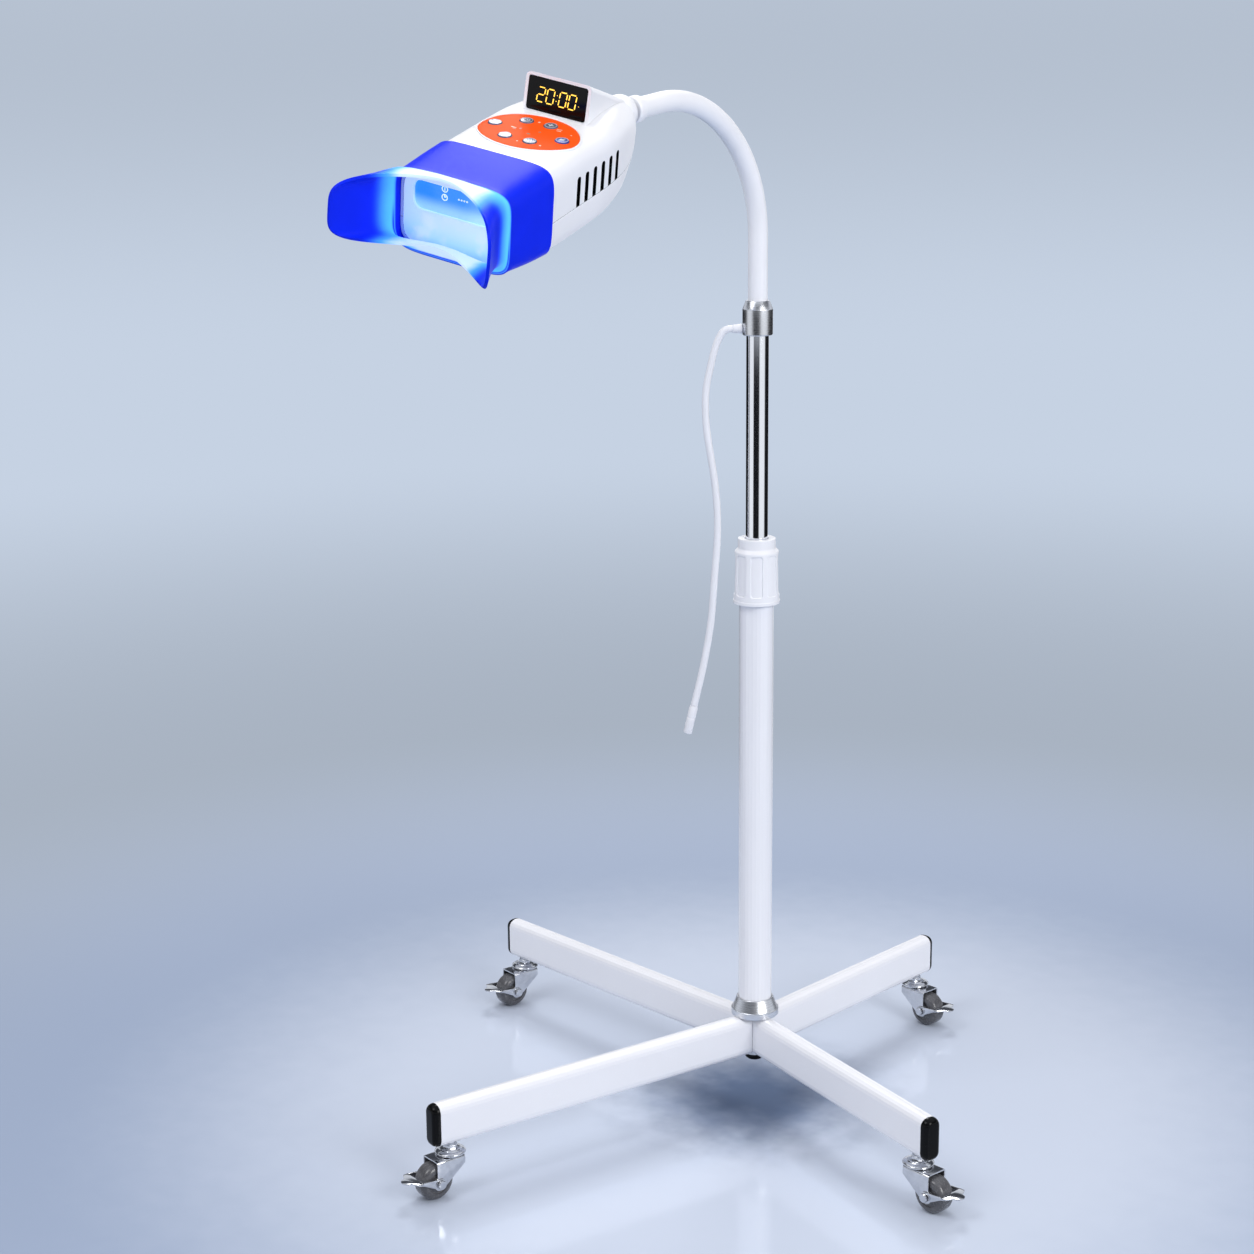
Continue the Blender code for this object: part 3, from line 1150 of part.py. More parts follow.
def build_light(shop, head):
    """White frame with its pane in the nose, and the lamp board behind them."""
    frame = shop.piece("light_frame", head_slab(HEAD_NOSE, HEAD_NOSE - FRAME_DEPTH), "light_white", head)
    keep(shop, frame, loft(head_rings(SHELL_WALL + GAP, OVERRUN), True))
    half_height = (WINDOW_HIGH - WINDOW_LOW) / 2
    middle = (0, (WINDOW_HIGH + WINDOW_LOW) / 2)
    upright = Matrix.Rotation(math.pi / 2, 4, "X")
    opening = prism([rounded_box(WINDOW_HALF_WIDTH, half_height, WINDOW_CORNER, 4, middle)],
                    FRAME_DEPTH + 2 * OVERRUN)
    back = Matrix.Translation((0, FRAME_DEPTH - HEAD_NOSE + OVERRUN, 0))
    cut(shop, frame, moved(opening, back @ upright))
    pane = prism([rounded_box(WINDOW_HALF_WIDTH - GAP, half_height - GAP, WINDOW_CORNER - GAP, 4, middle)],
                 PANE_THICKNESS)
    back = Matrix.Translation((0, PANE_THICKNESS + PANE_INSET - HEAD_NOSE, 0))
    shop.piece("light_pane", moved(pane, back @ upright), "lens_blue", head)

    board = shop.piece("led_board", head_slab(LED_PLACE, LED_PLACE - LED_PLATE), "board_green", head)
    keep(shop, board, loft(head_rings(SHELL_WALL + GAP, OVERRUN), True))
    lamp = moved(cylinder(LED_RADIUS, -LED_SINK, LED_HEIGHT, SMALL), along((0, -1, 0)))
    spots = []
    for step in range(LED_COUNT):
        share = (step + 0.5) / LED_COUNT * 2 - 1
        lift = middle[1] + (half_height / 2 if step % 2 else -half_height / 2)
        spots.append(Matrix.Translation((share * WINDOW_HALF_WIDTH, -LED_PLACE, lift)))
    add(shop, board, copies(lamp, spots))


def build_fan(shop, head):
    """Bulkhead with a round mouth, and the rotor on its spindle."""
    upright = Matrix.Rotation(math.pi / 2, 4, "X")
    back = Matrix.Translation((0, -FAN_PLACE, 0))
    frame = shop.piece("fan_frame", head_slab(FAN_PLACE + FAN_DEPTH, FAN_PLACE), "black_plastic", head)
    keep(shop, frame, loft(head_rings(SHELL_WALL + GAP, OVERRUN), True))
    mouth = FAN_RADIUS + FAN_TIP_ROOM
    cut(shop, frame, cylinder(mouth, FAN_BACK_WALL, FAN_DEPTH + OVERRUN, MEDIUM), back @ upright)
    through = Matrix.Translation((0, OVERRUN - FAN_PLACE, 0)) @ upright
    for step in range(FAN_WINDOWS):
        turn = 2 * math.pi * step / FAN_WINDOWS
        outline = arc((0, 0), mouth - FAN_STRUT / 2, turn, turn + FAN_WINDOW, 8)
        outline += arc((0, 0), FAN_HUB_RADIUS, turn + FAN_WINDOW - FAN_WINDOW_INSET,
                       turn + FAN_WINDOW_INSET, 4)
        cut(shop, frame, prism([outline], FAN_BACK_WALL + 2 * OVERRUN), through)
    spindle = cylinder(FAN_SPINDLE_RADIUS, FAN_BACK_WALL / 2, FAN_SPINDLE_LENGTH, SMALL)
    add(shop, frame, spindle, back @ upright)

    axis = shop.empty("fan_axis", back @ upright, head)
    start = FAN_BACK_WALL + GAP
    end = FAN_DEPTH - FAN_FRONT_ROOM
    bore = FAN_SPINDLE_RADIUS + GAP
    cap = FAN_SPINDLE_LENGTH + GAP
    profile = ((0, end), (FAN_HUB_RADIUS, end), (FAN_HUB_RADIUS, start), (bore, start), (bore, cap), (0, cap))
    rotor = shop.piece("fan_rotor", turned(profile, KNOB_STEPS), "black_plastic", axis)
    middle = Matrix.Translation((0, 0, (start + end) / 2)) @ Matrix.Rotation(FAN_BLADE_PITCH, 4, "X")
    for step in range(FAN_BLADES):
        blade = box((FAN_HUB_RADIUS - FAN_BLADE_ROOT, -FAN_BLADE_THICKNESS / 2, -FAN_BLADE_DEPTH / 2),
                    (FAN_RADIUS - 2 * GAP, FAN_BLADE_THICKNESS / 2, FAN_BLADE_DEPTH / 2))
        add(shop, rotor, blade, flat_turn(2 * math.pi * step / FAN_BLADES) @ middle)


def guard_rings():
    """Rings of the guard's outside: a grip around the nose, then the flare out to the rim."""
    stations = []
    for step in range(GUARD_GRIP_STEPS):
        share = step / (GUARD_GRIP_STEPS - 1)
        reach = GUARD_EDGE + (HEAD_NOSE - GUARD_EDGE) * share
        stations.append((reach, 0, 0, 0))
    start = HEAD_NOSE + 2 * GUARD_WALL
    stations.append((start, 0, 0, 0))
    for place, flare, rise, curve in GUARD_FLARE_SHARES:
        stations.append((start + (GUARD_RIM - start) * place, flare, rise, curve))
    outset = GUARD_WALL + GAP - SHELL_STEP
    rings = []
    for reach, flare, rise, curve in stations:
        half, top, bottom, power = head_section(reach)
        half, top, bottom = half + outset, top + outset, bottom + outset
        half += (GUARD_WING_HALF_WIDTH - half) * flare
        top += (GUARD_TOP - top) * rise
        bottom += (GUARD_FLOOR - bottom) * rise
        twist = Matrix.Rotation(GUARD_TWIST * curve, 4, "Y")
        ring_points = []
        for x, z in squarish(half, top, bottom, power, GUARD_RING, GUARD_WARP * rise):
            sweep = GUARD_WING_REACH * (abs(x) / half) ** GUARD_CURVE_POWER
            ring_points.append(twist @ Vector((x, -reach - sweep * curve, z)))
        rings.append(ring_points)
    return rings


def build_guard(shop, head):
    guard = shop.piece("mouth_guard", loft(guard_rings(), False), "guard_blue", head)
    wall = guard.modifiers.new("wall", "SOLIDIFY")
    wall.thickness = GUARD_WALL
    wall.offset = 1
    wall.use_even_offset = True


def build_head(shop, mast):
    standoff = DOME_RADIUS + GAP + FERRULE_WALL + GAP
    centre = neck_point(NECK_END_TURN) + neck_way(NECK_END_TURN) * standoff
    backwards = -neck_way(NECK_END_TURN)
    neck_frame = Matrix.Translation(centre) @ along(backwards)
    stud_axis = shop.empty("neck_turn_axis", neck_frame, mast)
    face = DOME_RADIUS + GAP
    bore = NECK_RADIUS + 2 * GAP
    profile = ((0, face + FERRULE_WALL), (bore, face + FERRULE_WALL), (bore, face + FERRULE_LENGTH),
               (FERRULE_RADIUS - GAP, face + FERRULE_LENGTH), (FERRULE_RADIUS, face + FERRULE_WALL),
               (FERRULE_RADIUS - FERRULE_EDGE, face), (STUD_RADIUS, face), (STUD_RADIUS, 0), (0, 0))
    stud = shop.piece("neck_ball_stud", turned(profile, MEDIUM), "white_plastic", stud_axis)
    add(shop, stud, ball(BALL_RADIUS, MEDIUM))

    pose = flat_turn(HEAD_YAW) @ Matrix.Rotation(HEAD_PITCH, 4, "X") @ Matrix.Rotation(HEAD_ROLL, 4, "Y")
    head = shop.empty("head_frame", Matrix.Translation(centre) @ pose, mast)
    to_neck = pose.inverted() @ along(backwards)

    dome = shop.piece("neck_dome", ball(DOME_RADIUS, MEDIUM), "white_plastic", head)
    cut(shop, dome, ball(BALL_RADIUS + GAP, MEDIUM))
    cut(shop, dome, cylinder(DOME_MOUTH_RADIUS, 0, DOME_RADIUS + OVERRUN, MEDIUM), to_neck)
    side = 2 * DOME_RADIUS
    cut(shop, dome, box((-side, -side, -side), (side, -DOME_RADIUS * DOME_REACH_SHARE, side)))
    build_shells(shop, head)
    build_panel(shop, head)
    build_display(shop, head)
    build_light(shop, head)
    build_fan(shop, head)
    build_guard(shop, head)


def centre_footprint(shop, root):
    """Move the root so that the origin is under the middle of everything but the power lead."""
    bpy.context.view_layer.update()
    graph = bpy.context.evaluated_depsgraph_get()
    lows, highs = [], []
    for made in shop.parts.objects:
        if made.type != "MESH" or made.name in ("power_lead", "lead_connector"):
            continue
        evaluated = made.evaluated_get(graph)
        corners = [evaluated.matrix_world @ vert.co for vert in evaluated.to_mesh().vertices]
        evaluated.to_mesh_clear()
        lows.append(Vector(min(corner[axis] for corner in corners) for axis in range(3)))
        highs.append(Vector(max(corner[axis] for corner in corners) for axis in range(3)))
    low = Vector(min(point[axis] for point in lows) for axis in range(3))
    high = Vector(max(point[axis] for point in highs) for axis in range(3))
    middle = (low + high) / 2
    root.location = (-middle.x, -middle.y, -low.z)


def main():
    for made in list(bpy.data.objects):
        bpy.data.objects.remove(made)
    shop = Shop()
    root = shop.empty("stand", Matrix.Identity(4))
    mast = shop.empty("mast", Matrix.Identity(4), root)
    build_base(shop, root)
    build_pole(shop, root)
    build_mast(shop, mast)
    build_neck(shop, mast)
    build_head(shop, mast)
    centre_footprint(shop, root)


main()
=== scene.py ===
"""Looks of a teeth whitening lamp on a wheeled stand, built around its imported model.

The head with its display, panel and blue mouth guard, the flexible neck, the turned pieces on the
pole, the casters, the caps and the power lead get their fine forms here. Every other node of the
model gets its finish.
"""
import json
import math

import bmesh
import bpy
from bpy.props import FloatProperty, FloatVectorProperty, PointerProperty, StringProperty
from mathutils import Matrix, Vector

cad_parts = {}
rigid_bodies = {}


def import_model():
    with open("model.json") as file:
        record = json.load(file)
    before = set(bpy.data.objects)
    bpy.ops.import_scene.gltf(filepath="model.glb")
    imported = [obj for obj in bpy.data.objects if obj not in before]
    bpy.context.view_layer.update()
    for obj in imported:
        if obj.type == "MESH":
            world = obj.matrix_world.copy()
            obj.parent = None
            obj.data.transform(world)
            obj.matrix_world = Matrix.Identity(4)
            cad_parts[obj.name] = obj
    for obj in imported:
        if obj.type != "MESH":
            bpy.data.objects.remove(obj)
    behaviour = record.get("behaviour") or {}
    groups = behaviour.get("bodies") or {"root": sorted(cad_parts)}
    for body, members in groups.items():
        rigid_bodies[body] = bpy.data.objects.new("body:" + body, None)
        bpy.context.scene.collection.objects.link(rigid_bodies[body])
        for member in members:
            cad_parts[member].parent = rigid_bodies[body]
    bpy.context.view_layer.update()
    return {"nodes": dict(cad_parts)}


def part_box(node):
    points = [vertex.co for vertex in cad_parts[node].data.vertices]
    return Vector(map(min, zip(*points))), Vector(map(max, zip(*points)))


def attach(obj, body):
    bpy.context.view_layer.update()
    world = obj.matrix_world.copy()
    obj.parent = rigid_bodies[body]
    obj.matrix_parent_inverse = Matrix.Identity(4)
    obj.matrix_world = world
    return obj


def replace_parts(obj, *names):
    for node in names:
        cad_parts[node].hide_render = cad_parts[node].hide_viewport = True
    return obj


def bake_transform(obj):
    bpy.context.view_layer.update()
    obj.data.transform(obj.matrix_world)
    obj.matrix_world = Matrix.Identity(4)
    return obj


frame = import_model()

bl_info = {
    "name": "Teeth whitening lamp",
    "version": (1, 0, 0),
    "blender": (4, 5, 0),
    "location": "3D View > Sidebar > Lamp",
    "description": "Builds the looks of a teeth whitening lamp around its packed model",
    "category": "Object",
}

WELD = 0.00001                  # points closer than this are one point
GAP = 0.0003                    # room between neighbouring parts
OVERRUN = 0.004                 # reach of a cutting tool past what it cuts
FILLET_SHARE = 0.45             # largest share of a side that the rounding of one corner takes
UP = Vector((0, 0, 1))
UPRIGHT = Matrix.Rotation(math.pi / 2, 4, "X")

# Camera, fitted to the photograph; its axes are right, up and back
SENSOR_WIDTH = 36
FOCAL_PIXELS = 2400
FRAME_PIXELS = 1254
CAMERA_PLACE = (1.4278, -1.9108, 1.0934)
CAMERA_AXES = ((0.76798, 0.64042, -0.00858), (-0.14389, 0.18557, 0.97204), (0.6241, -0.74527, 0.23466))
CLIP_START = 0.05

# Studio: lamps by place from the pole's axis and by width, and the floor
LAMPS = {"key": ((-0.7, -2.2, 3.2), 1.8), "fill": ((3.0, -0.6, 1.9), 1.6), "back": ((-1.6, 2.0, 3.6), 1.4)}
LAMP_AIM = 0.55
FLOOR_RADIUS = 7.0
LIT_FLOOR_END, FAR_FLOOR_START = 0.75, 1.5

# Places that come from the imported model
pole_low, pole_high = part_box("outer_tube")
AXIS = Vector(((pole_low.x + pole_high.x) / 2, (pole_low.y + pole_high.y) / 2, 0))
ON_AXIS = Matrix.Translation(AXIS)
POLE_FOOT = pole_low.z
COLLAR_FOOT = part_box("top_collar")[0].z
NECK_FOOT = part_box("gooseneck_lower")[0].z
NUT_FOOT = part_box("clamp_nut")[0].z
TUBE_FOOT, TUBE_TOP = (corner.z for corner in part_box("inner_tube"))
LEG_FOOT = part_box("leg_front")[0].z

# Casters
WHEEL_RADIUS = 0.0185
WHEEL_WIDTH = 0.020
WHEEL_EDGE = 0.006
WHEEL_ROOM = 0.001
WHEEL_BOSS_RADIUS = 0.0056
WHEEL_GROOVE_RADIUS = 0.0114
WHEEL_GROOVE_SLOPE = 0.0006
WHEEL_GROOVE_DEPTH = 0.0012
WHEEL_GROOVE_ROUNDING = 0.0003
AXLE_RADIUS = 0.003
AXLE_HEAD_RADIUS = 0.0046
AXLE_HEAD_HEIGHT = 0.0024
AXLE_ROUNDING = 0.0011
CASTER_TRAIL = 0.0205
FORK_PLATE = 0.0016
FORK_TOP_ROOM = 0.0026
FORK_EYE_RADIUS = 0.0070
FORK_FRONT = 0.003
FORK_REAR = 0.009
FORK_REAR_DEPTH = 0.0085
FORK_BEND = 0.0024
FORK_INNER_BEND = 0.0009
FORK_EDGE = 0.00025
RACE_RADIUS = 0.0155
RACE_HEIGHT = 0.006
RACE_ROUNDING = 0.0007
# Section of the bearing race, as shares of its radius and height
RACE_SHARES = (
    (0.50, 1.00), (0.66, 0.94), (0.72, 0.74), (0.88, 0.64), (1.00, 0.46), (1.00, 0.20), (0.86, 0.00),
)
STEM_RADIUS = 0.005
STEM_NECK_RADIUS = 0.0042
STEM_HEAD_RADIUS = 0.0060
STEM_HEAD_HEIGHT = 0.0014
STEM_SHOULDER = 0.0015
STEM_TIP = 0.006
STEM_NUT_RADIUS = 0.0075
STEM_NUT_HEIGHT = 0.0035
STEM_NUT_SINK = 0.0005
STEM_NUT_ROUNDING = 0.0004
BRAKE_PLATE = 0.0015
BRAKE_EYE_RADIUS = 0.0056
BRAKE_EAR_START, BRAKE_EAR_END = math.radians(100), math.radians(310)
BRAKE_EAR_EDGE = 0.0002
BRAKE_TAB_INNER = 0.0205
BRAKE_TAB_OUTER = 0.0365
BRAKE_TAB_LIFT = 0.0060
BRAKE_TAB_EDGE = 0.0003
BRAKE_TIP_WIDTH = 0.013
CROWN_UNDER = 2 * WHEEL_RADIUS + FORK_TOP_ROOM
CROWN_TOP = CROWN_UNDER + FORK_PLATE
RACE_FOOT = CROWN_TOP + GAP
FORK_INNER = WHEEL_WIDTH / 2 + WHEEL_ROOM
FORK_OUTER = FORK_INNER + FORK_PLATE
BRAKE_INNER = FORK_OUTER + GAP
BRAKE_OUTER = BRAKE_INNER + BRAKE_PLATE

# Base
LEG_HEIGHT = 0.0439
LEG_WIDTH = 0.020
LEG_CORNER = 0.0085
LONG_LEG = 0.391
SHORT_LEG = 0.302
BASE_TURN = math.radians(213.6)
LONG_LEG_SPREAD = math.radians(40.8)
SHORT_LEG_SPREAD = math.radians(126.7)
STEM_INSET = 0.015
CAP_DOME = 0.0075
CAP_ROUNDING = 0.0055
HUB_PLUG_RADIUS = 0.0105
HUB_PLUG_HEIGHT = 0.007
HUB_PLUG_CHAMFER = 0.0026
HUB_PLUG_ROUNDING = 0.0012
FLANGE_BAND_RADIUS = 0.0250
FLANGE_CONE_RADIUS = 0.0240
FLANGE_RIM_RADIUS = 0.0192
FLANGE_BAND_HEIGHT = 0.0065
FLANGE_CONE_HEIGHT = 0.0125
# Legs: name, bearing, length, and the way its caster points
LEGS = (
    ("front", BASE_TURN + LONG_LEG_SPREAD, LONG_LEG, math.radians(258.0)),
    ("left", BASE_TURN - LONG_LEG_SPREAD, LONG_LEG, math.radians(258.0)),
    ("rear", BASE_TURN - SHORT_LEG_SPREAD, SHORT_LEG, math.radians(352.0)),
    ("right", BASE_TURN + SHORT_LEG_SPREAD, SHORT_LEG, math.radians(352.0)),
)

# Pole, nut, chrome tube and collar
POLE_RADIUS = 0.0175
NUT_FOOT_RADIUS = 0.0238
NUT_FOOT_HEIGHT = 0.0035
NUT_BODY_RADIUS = 0.0233
NUT_SHOULDER_RADIUS = 0.0224
NUT_BODY_HEIGHT = 0.0535
NUT_CHAMFER = 0.0035
NUT_RING_RADIUS = 0.0192
NUT_RING_HEIGHT = 0.010
NUT_PANELS = 8
NUT_PANEL_TURN = math.radians(36.8)
NUT_PANEL_WIDTH = 0.0125
NUT_PANEL_MARGIN = 0.0055
NUT_PANEL_DEPTH = 0.0011
NUT_PANEL_CORNER = 0.0028
NUT_PANEL_SLOPE = 0.0006
NUT_PANEL_ROOM = 0.001
NUT_MOUTH_ROOM = 0.0010
NUT_SEAT = 0.004
NUT_ROUNDING = 0.0008
NUT_FACET = 0.0007
TURNED_EDGE = 0.0005
TUBE_EDGE = 0.0003
TUBE_RADIUS = 0.0112
TUBE_WALL = 0.0012
COLLAR_RADIUS = 0.0151
COLLAR_LENGTH = 0.0343
COLLAR_CHAMFER = 0.0033
COLLAR_TAPER = 0.0085
COLLAR_LIP = 0.0009
COLLAR_SEAT = 0.004

# Neck, in the plane of its bend
NECK_RADIUS = 0.0098
NECK_RISE = 0.0796
NECK_BEND_RADIUS = 0.1332
NECK_BEND = math.radians(98.0)
NECK_RUN = 0.0396
NECK_STEPS = 48
NECK_SIDES = 40
LOW_BEND = math.radians(14.0)
MIDDLE_CUT = math.radians(41.0)
HIGH_BEND = math.radians(68.0)
BEND_FOOT = NECK_FOOT + NECK_RISE
NECK_END_TURN = NECK_BEND + NECK_RUN / NECK_BEND_RADIUS
BEND_SPREAD = math.radians(14.0)
FERRULE_RADIUS = 0.0125
FERRULE_LENGTH = 0.009
FERRULE_WALL = 0.0022
FERRULE_CHAMFER = 0.0008
FERRULE_ROUNDING = 0.0005
STUD_RADIUS = 0.0040
BALL_RADIUS = 0.0125
DOME_RADIUS = 0.0170
DOME_MOUTH_RADIUS = 0.0105
BALL_STANDOFF = DOME_RADIUS + GAP + FERRULE_WALL + GAP

# Lamp head, measured from the centre of its ball; the head looks along its own -Y
HEAD_TURNS = (
    Matrix.Rotation(math.radians(10.5), 4, "Z")
    @ Matrix.Rotation(math.radians(15.4), 4, "X")
    @ Matrix.Rotation(math.radians(13.4), 4, "Y")
)
HALF_HEAD = 0.0565
HEAD_TOP = 0.0352
HEAD_BOTTOM = 0.0462
HEAD_NOSE = 0.2822
GUARD_EDGE = 0.2232
SEAM_DROP = 0.0135
SHELL_WALL = 0.0025
SHELL_STEP = 0.0012
SHELL_EDGE = 0.0003
HEAD_RINGS = 60
HEAD_POINTS = 128
HEAD_WARP = 0.3                 # evens out the points around the squarish section
# Stations along the head: place as a share of the nose length, then width, top and bottom as
# shares of the head's own, and the power of the squarish section
HEAD_SHARES = (
    (0.035, 0.276, 0.443, 0.338, 2.0),
    (0.065, 0.460, 0.620, 0.540, 2.4),
    (0.129, 0.639, 0.794, 0.671, 2.8),
    (0.213, 0.795, 0.908, 0.787, 3.5),
    (0.318, 0.933, 0.983, 0.911, 4.9),
    (0.455, 1.000, 1.000, 0.987, 5.9),
    (0.643, 1.000, 1.000, 1.000, 6.1),
    (0.790, 1.000, 0.989, 0.969, 6.1),
    (0.895, 0.985, 0.971, 0.911, 6.1),
    (1.000, 0.960, 0.943, 0.822, 6.1),
)
VENT_COUNT = 6
VENT_WIDTH = 0.0062
VENT_CORNER = 0.0028
VENT_PITCH = 0.0142
VENT_FIRST = 0.1061
VENT_LOW = -0.0148
VENT_HIGH = 0.0132
VENT_CUT = 0.013

# Mouth guard, around the head's nose
GUARD_WALL = 0.0026
GUARD_TOP = 0.0398
GUARD_FLOOR = 0.0235
GUARD_RIM = 0.3038
GUARD_WING_HALF_WIDTH = 0.0760
GUARD_WING_REACH = 0.0525
GUARD_TWIST = math.radians(3.1)
GUARD_CURVE_POWER = 1.6
GUARD_POWER_LOSS = 1.9          # the flare's section is rounder than the nose's
GUARD_POINTS = 144
GUARD_STEPS = 24
GUARD_WARP = 0.85               # evens out the points around the squarish rim
GUARD_EDGE_ROUNDING = 0.0009
GUARD_GRIP_SHARES = (0, 0.02, 0.25, 0.5, 0.75, 0.9)
# Stations along the flare: place as a share, then the shares of width, rise and curve reached there
GUARD_FLARE_SHARES = (
    (0.00, 0.00, 0.00, 0.00),
    (0.20, 0.03, 0.30, 0.05),
    (0.34, 0.09, 0.68, 0.15),
    (0.48, 0.20, 0.90, 0.35),
    (0.64, 0.42, 0.98, 0.60),
    (0.82, 0.70, 1.00, 0.80),
    (1.00, 1.00, 1.00, 1.00),
)

# Display window with its hood and digits
DISPLAY_WIDTH = 0.0575
DISPLAY_HEIGHT = 0.0290
DISPLAY_PLATE = 0.0030
DISPLAY_PLACE = 0.1218
DISPLAY_LIFT = 0.0365
DISPLAY_TILT = math.radians(8.2)
HOOD_MARGIN = 0.0032
HOOD_WALL = 0.0022
HOOD_ROUNDING = 0.0050
HOOD_REAR_PLACE = 0.0175
HOOD_REAR_HALF_WIDTH = 0.0165
HOOD_REAR_HEIGHT = 0.0215
HOOD_SINK = 0.016
HOOD_EDGE = 0.0009
DIGIT_WIDTH = 0.0068
DIGIT_HEIGHT = 0.0126
DIGIT_PITCH = 0.0092
DIGIT_LEAN = 0.10
DIGIT_PROUD = 0.00015
READING_START = -0.0196
COLON_PITCH = 0.0030
COLON_INSET = 0.0004
COLON_SHARES = (0.30, 0.70)
SEGMENT_TRIM_SHARE = 0.62
DASH_LIFT = 0.004
DASH_LENGTH = 0.0010

# Control panel with its keys and their signs
PANEL_PLACE = 0.1665
PANEL_SIDE_MARGIN = 0.0114
PANEL_HALF_WIDTH = HALF_HEAD - PANEL_SIDE_MARGIN
PANEL_HALF_LENGTH = 0.0372
PANEL_PLATE = 0.0050
PANEL_PROUD = 0.0008
PANEL_FLOOR = HEAD_TOP + PANEL_PROUD - PANEL_PLATE
BUTTON_RADIUS = 0.0062
BUTTON_PROUD = 0.0009
BUTTON_RIM = 0.0010
BUTTON_RIM_HEIGHT = 0.0008
BUTTON_STEM_RADIUS = 0.0018
BUTTON_STEM = 0.0035
# Crown of a key: inset from its edge and drop from its top
KEY_CROWN = ((0.0030, 0.00005), (0.0010, 0.0002), (0, 0.0007))
KEY_EDGE = 0.0003
KEY_RING_INSET = 0.0011
KEY_RING_WIDTH = 0.0004
KEY_CUT_LOW, KEY_CUT_HIGH = 0.02, 0.05
PANEL_CUT = 0.02
PANEL_CUT_DROP = 0.012
SLOPE_STEP = 0.0005
# Rings of the film, as shares of its outline
FILM_SHARES = (0.03, 0.2, 0.36, 0.52, 0.68, 0.82, 0.92, 0.985)
FILM_EDGE = 0.0002
# Section of the panel's rim: margin around the film and lift over the crown
RIM_SECTION = (
    (0.0002, -0.0006), (0.0003, 0.0010), (0.0007, 0.0014), (0.0012, 0.0013), (0.0016, 0.0007),
    (0.0018, -0.0006), (0.0002, -0.0006),
)
# Keys: name, then side and length places as shares of the panel's half width and half length
KEY_SHARES = (
    ("mode", -0.745, 0.030),
    ("minus", -0.270, -0.510),
    ("time", -0.300, 0.540),
    ("plus", 0.200, 0.590),
    ("light", 0.250, -0.480),
    ("start", 0.715, 0.000),
)
# Signs are flat round-ended bars (place, length, width, turn) and rings (radius, width)
SIGN_HEIGHT = 0.0002
SIGN_SINK = 0.00015
BAR_ROUNDNESS = 0.9
MARK_HEIGHT = 0.0001
MARK_SINK = 0.00002
RAY_REACH = 0.0030
KEY_BARS = {
    "plus": ((0, 0, 0.0054, 0.0011), (0, 0, 0.0011, 0.0054)),
    "minus": ((0, 0, 0.0056, 0.0012),),
    "time": ((0, 0.0009, 0.0006, 0.0019), (0.0007, 0, 0.0015, 0.0006)),
    "mode": tuple((0, 0.0016 * step, 0.0052, 0.0007) for step in (-1, 0, 1)),
    "light": tuple((RAY_REACH * math.cos(a), RAY_REACH * math.sin(a), 0.0014, 0.0005, a)
                   for a in (math.pi * step / 4 for step in range(8))),
}
KEY_RINGS = {"time": (0.0027, 0.0007), "light": (0.0014, 0.0006)}
START_ARROW = (
    (-0.0022, -0.0030), (0.0030, -0.0002), (0.0006, 0.0004), (0.0018, 0.0028), (0.0008, 0.0032),
    (-0.0004, 0.0008), (-0.0022, 0.0022),
)
# Signs on the lit pane: place, ring, bars
PANE_SIGNS = (
    ((-0.0125, 0.0125, 0), (0.0025, 0.0009),
     ((0, 0.0011, 0.0008, 0.0024), (0.0008, 0.0005, 0.0018, 0.0008, 0.6))),
    ((-0.0125, 0.0198, 0), (0.0026, 0.0008), ((0, 0, 0.0007, 0.0036),)),
)
PANE_DOTS = tuple((0.0010 + 0.0026 * step, 0.0140, 0.0016, 0.0014) for step in range(4))
PANE_INSET = 0.0025
PANE_SIGN_SINK = 0.00005

# Power lead
LEAD_RADIUS = 0.0037
LEAD_TURN = math.radians(216.8)
LEAD_DROP = 0.0062
GROMMET_FLANGE = 0.002
GROMMET_LENGTH = 0.007
GROMMET_TIP_RADIUS = 0.0042
GROMMET_FOOT_RADIUS = 0.0047
GROMMET_FLANGE_RADIUS = 0.0052
GROMMET_STEM_RADIUS = 0.0036
GROMMET_STEM_ROOM = 0.0005
PLUG_RADIUS = 0.0045
PLUG_LENGTH = 0.0300
PLUG_EDGE = 0.0004
PLUG_TAPER = 0.0032
PLUG_GROOVE_FOOT = 0.0120
PLUG_GROOVE_WIDTH = 0.0018
PLUG_GROOVE_DEPTH = 0.0003
PLUG_SOCKET_RADIUS = 0.0029
PLUG_SOCKET_FOOT = 0.0180
PLUG_PIN_RADIUS = 0.0011
PLUG_PIN_TOP = 0.0276
LEAD_EXIT = COLLAR_RADIUS + GAP + GROMMET_FLANGE + GROMMET_LENGTH + GAP
LEAD_STEPS = 6
# Centre line of the hanging lead: distance from the pole's axis, and height
LEAD_ROUTE = (
    (0.0292, 0.8294), (0.0352, 0.8262), (0.0405, 0.8168), (0.0445, 0.8045), (0.0480, 0.7890),
    (0.0515, 0.7720), (0.0526, 0.7520), (0.0515, 0.7300), (0.0480, 0.7060), (0.0445, 0.6840),
    (0.0418, 0.6620), (0.0405, 0.6390), (0.0408, 0.6150), (0.0424, 0.5920), (0.0441, 0.5690),
    (0.0460, 0.5420), (0.0487, 0.5190), (0.0523, 0.4980), (0.0562, 0.4780), (0.0605, 0.4590),
    (0.0645, 0.4420),
)


def shade(red, green, blue):
    """A colour given as it shows on a screen, 0 to 255, in the linear values that shaders use."""
    def straight(value):
        share = value / 255
        return share / 12.92 if share <= 0.04045 else ((share + 0.055) / 1.055) ** 2.4
    return straight(red), straight(green), straight(blue)


def dimmed(colour, share):
    """A colour at a share of its strength."""
    return tuple(value * share for value in colour)


# Shader nodes

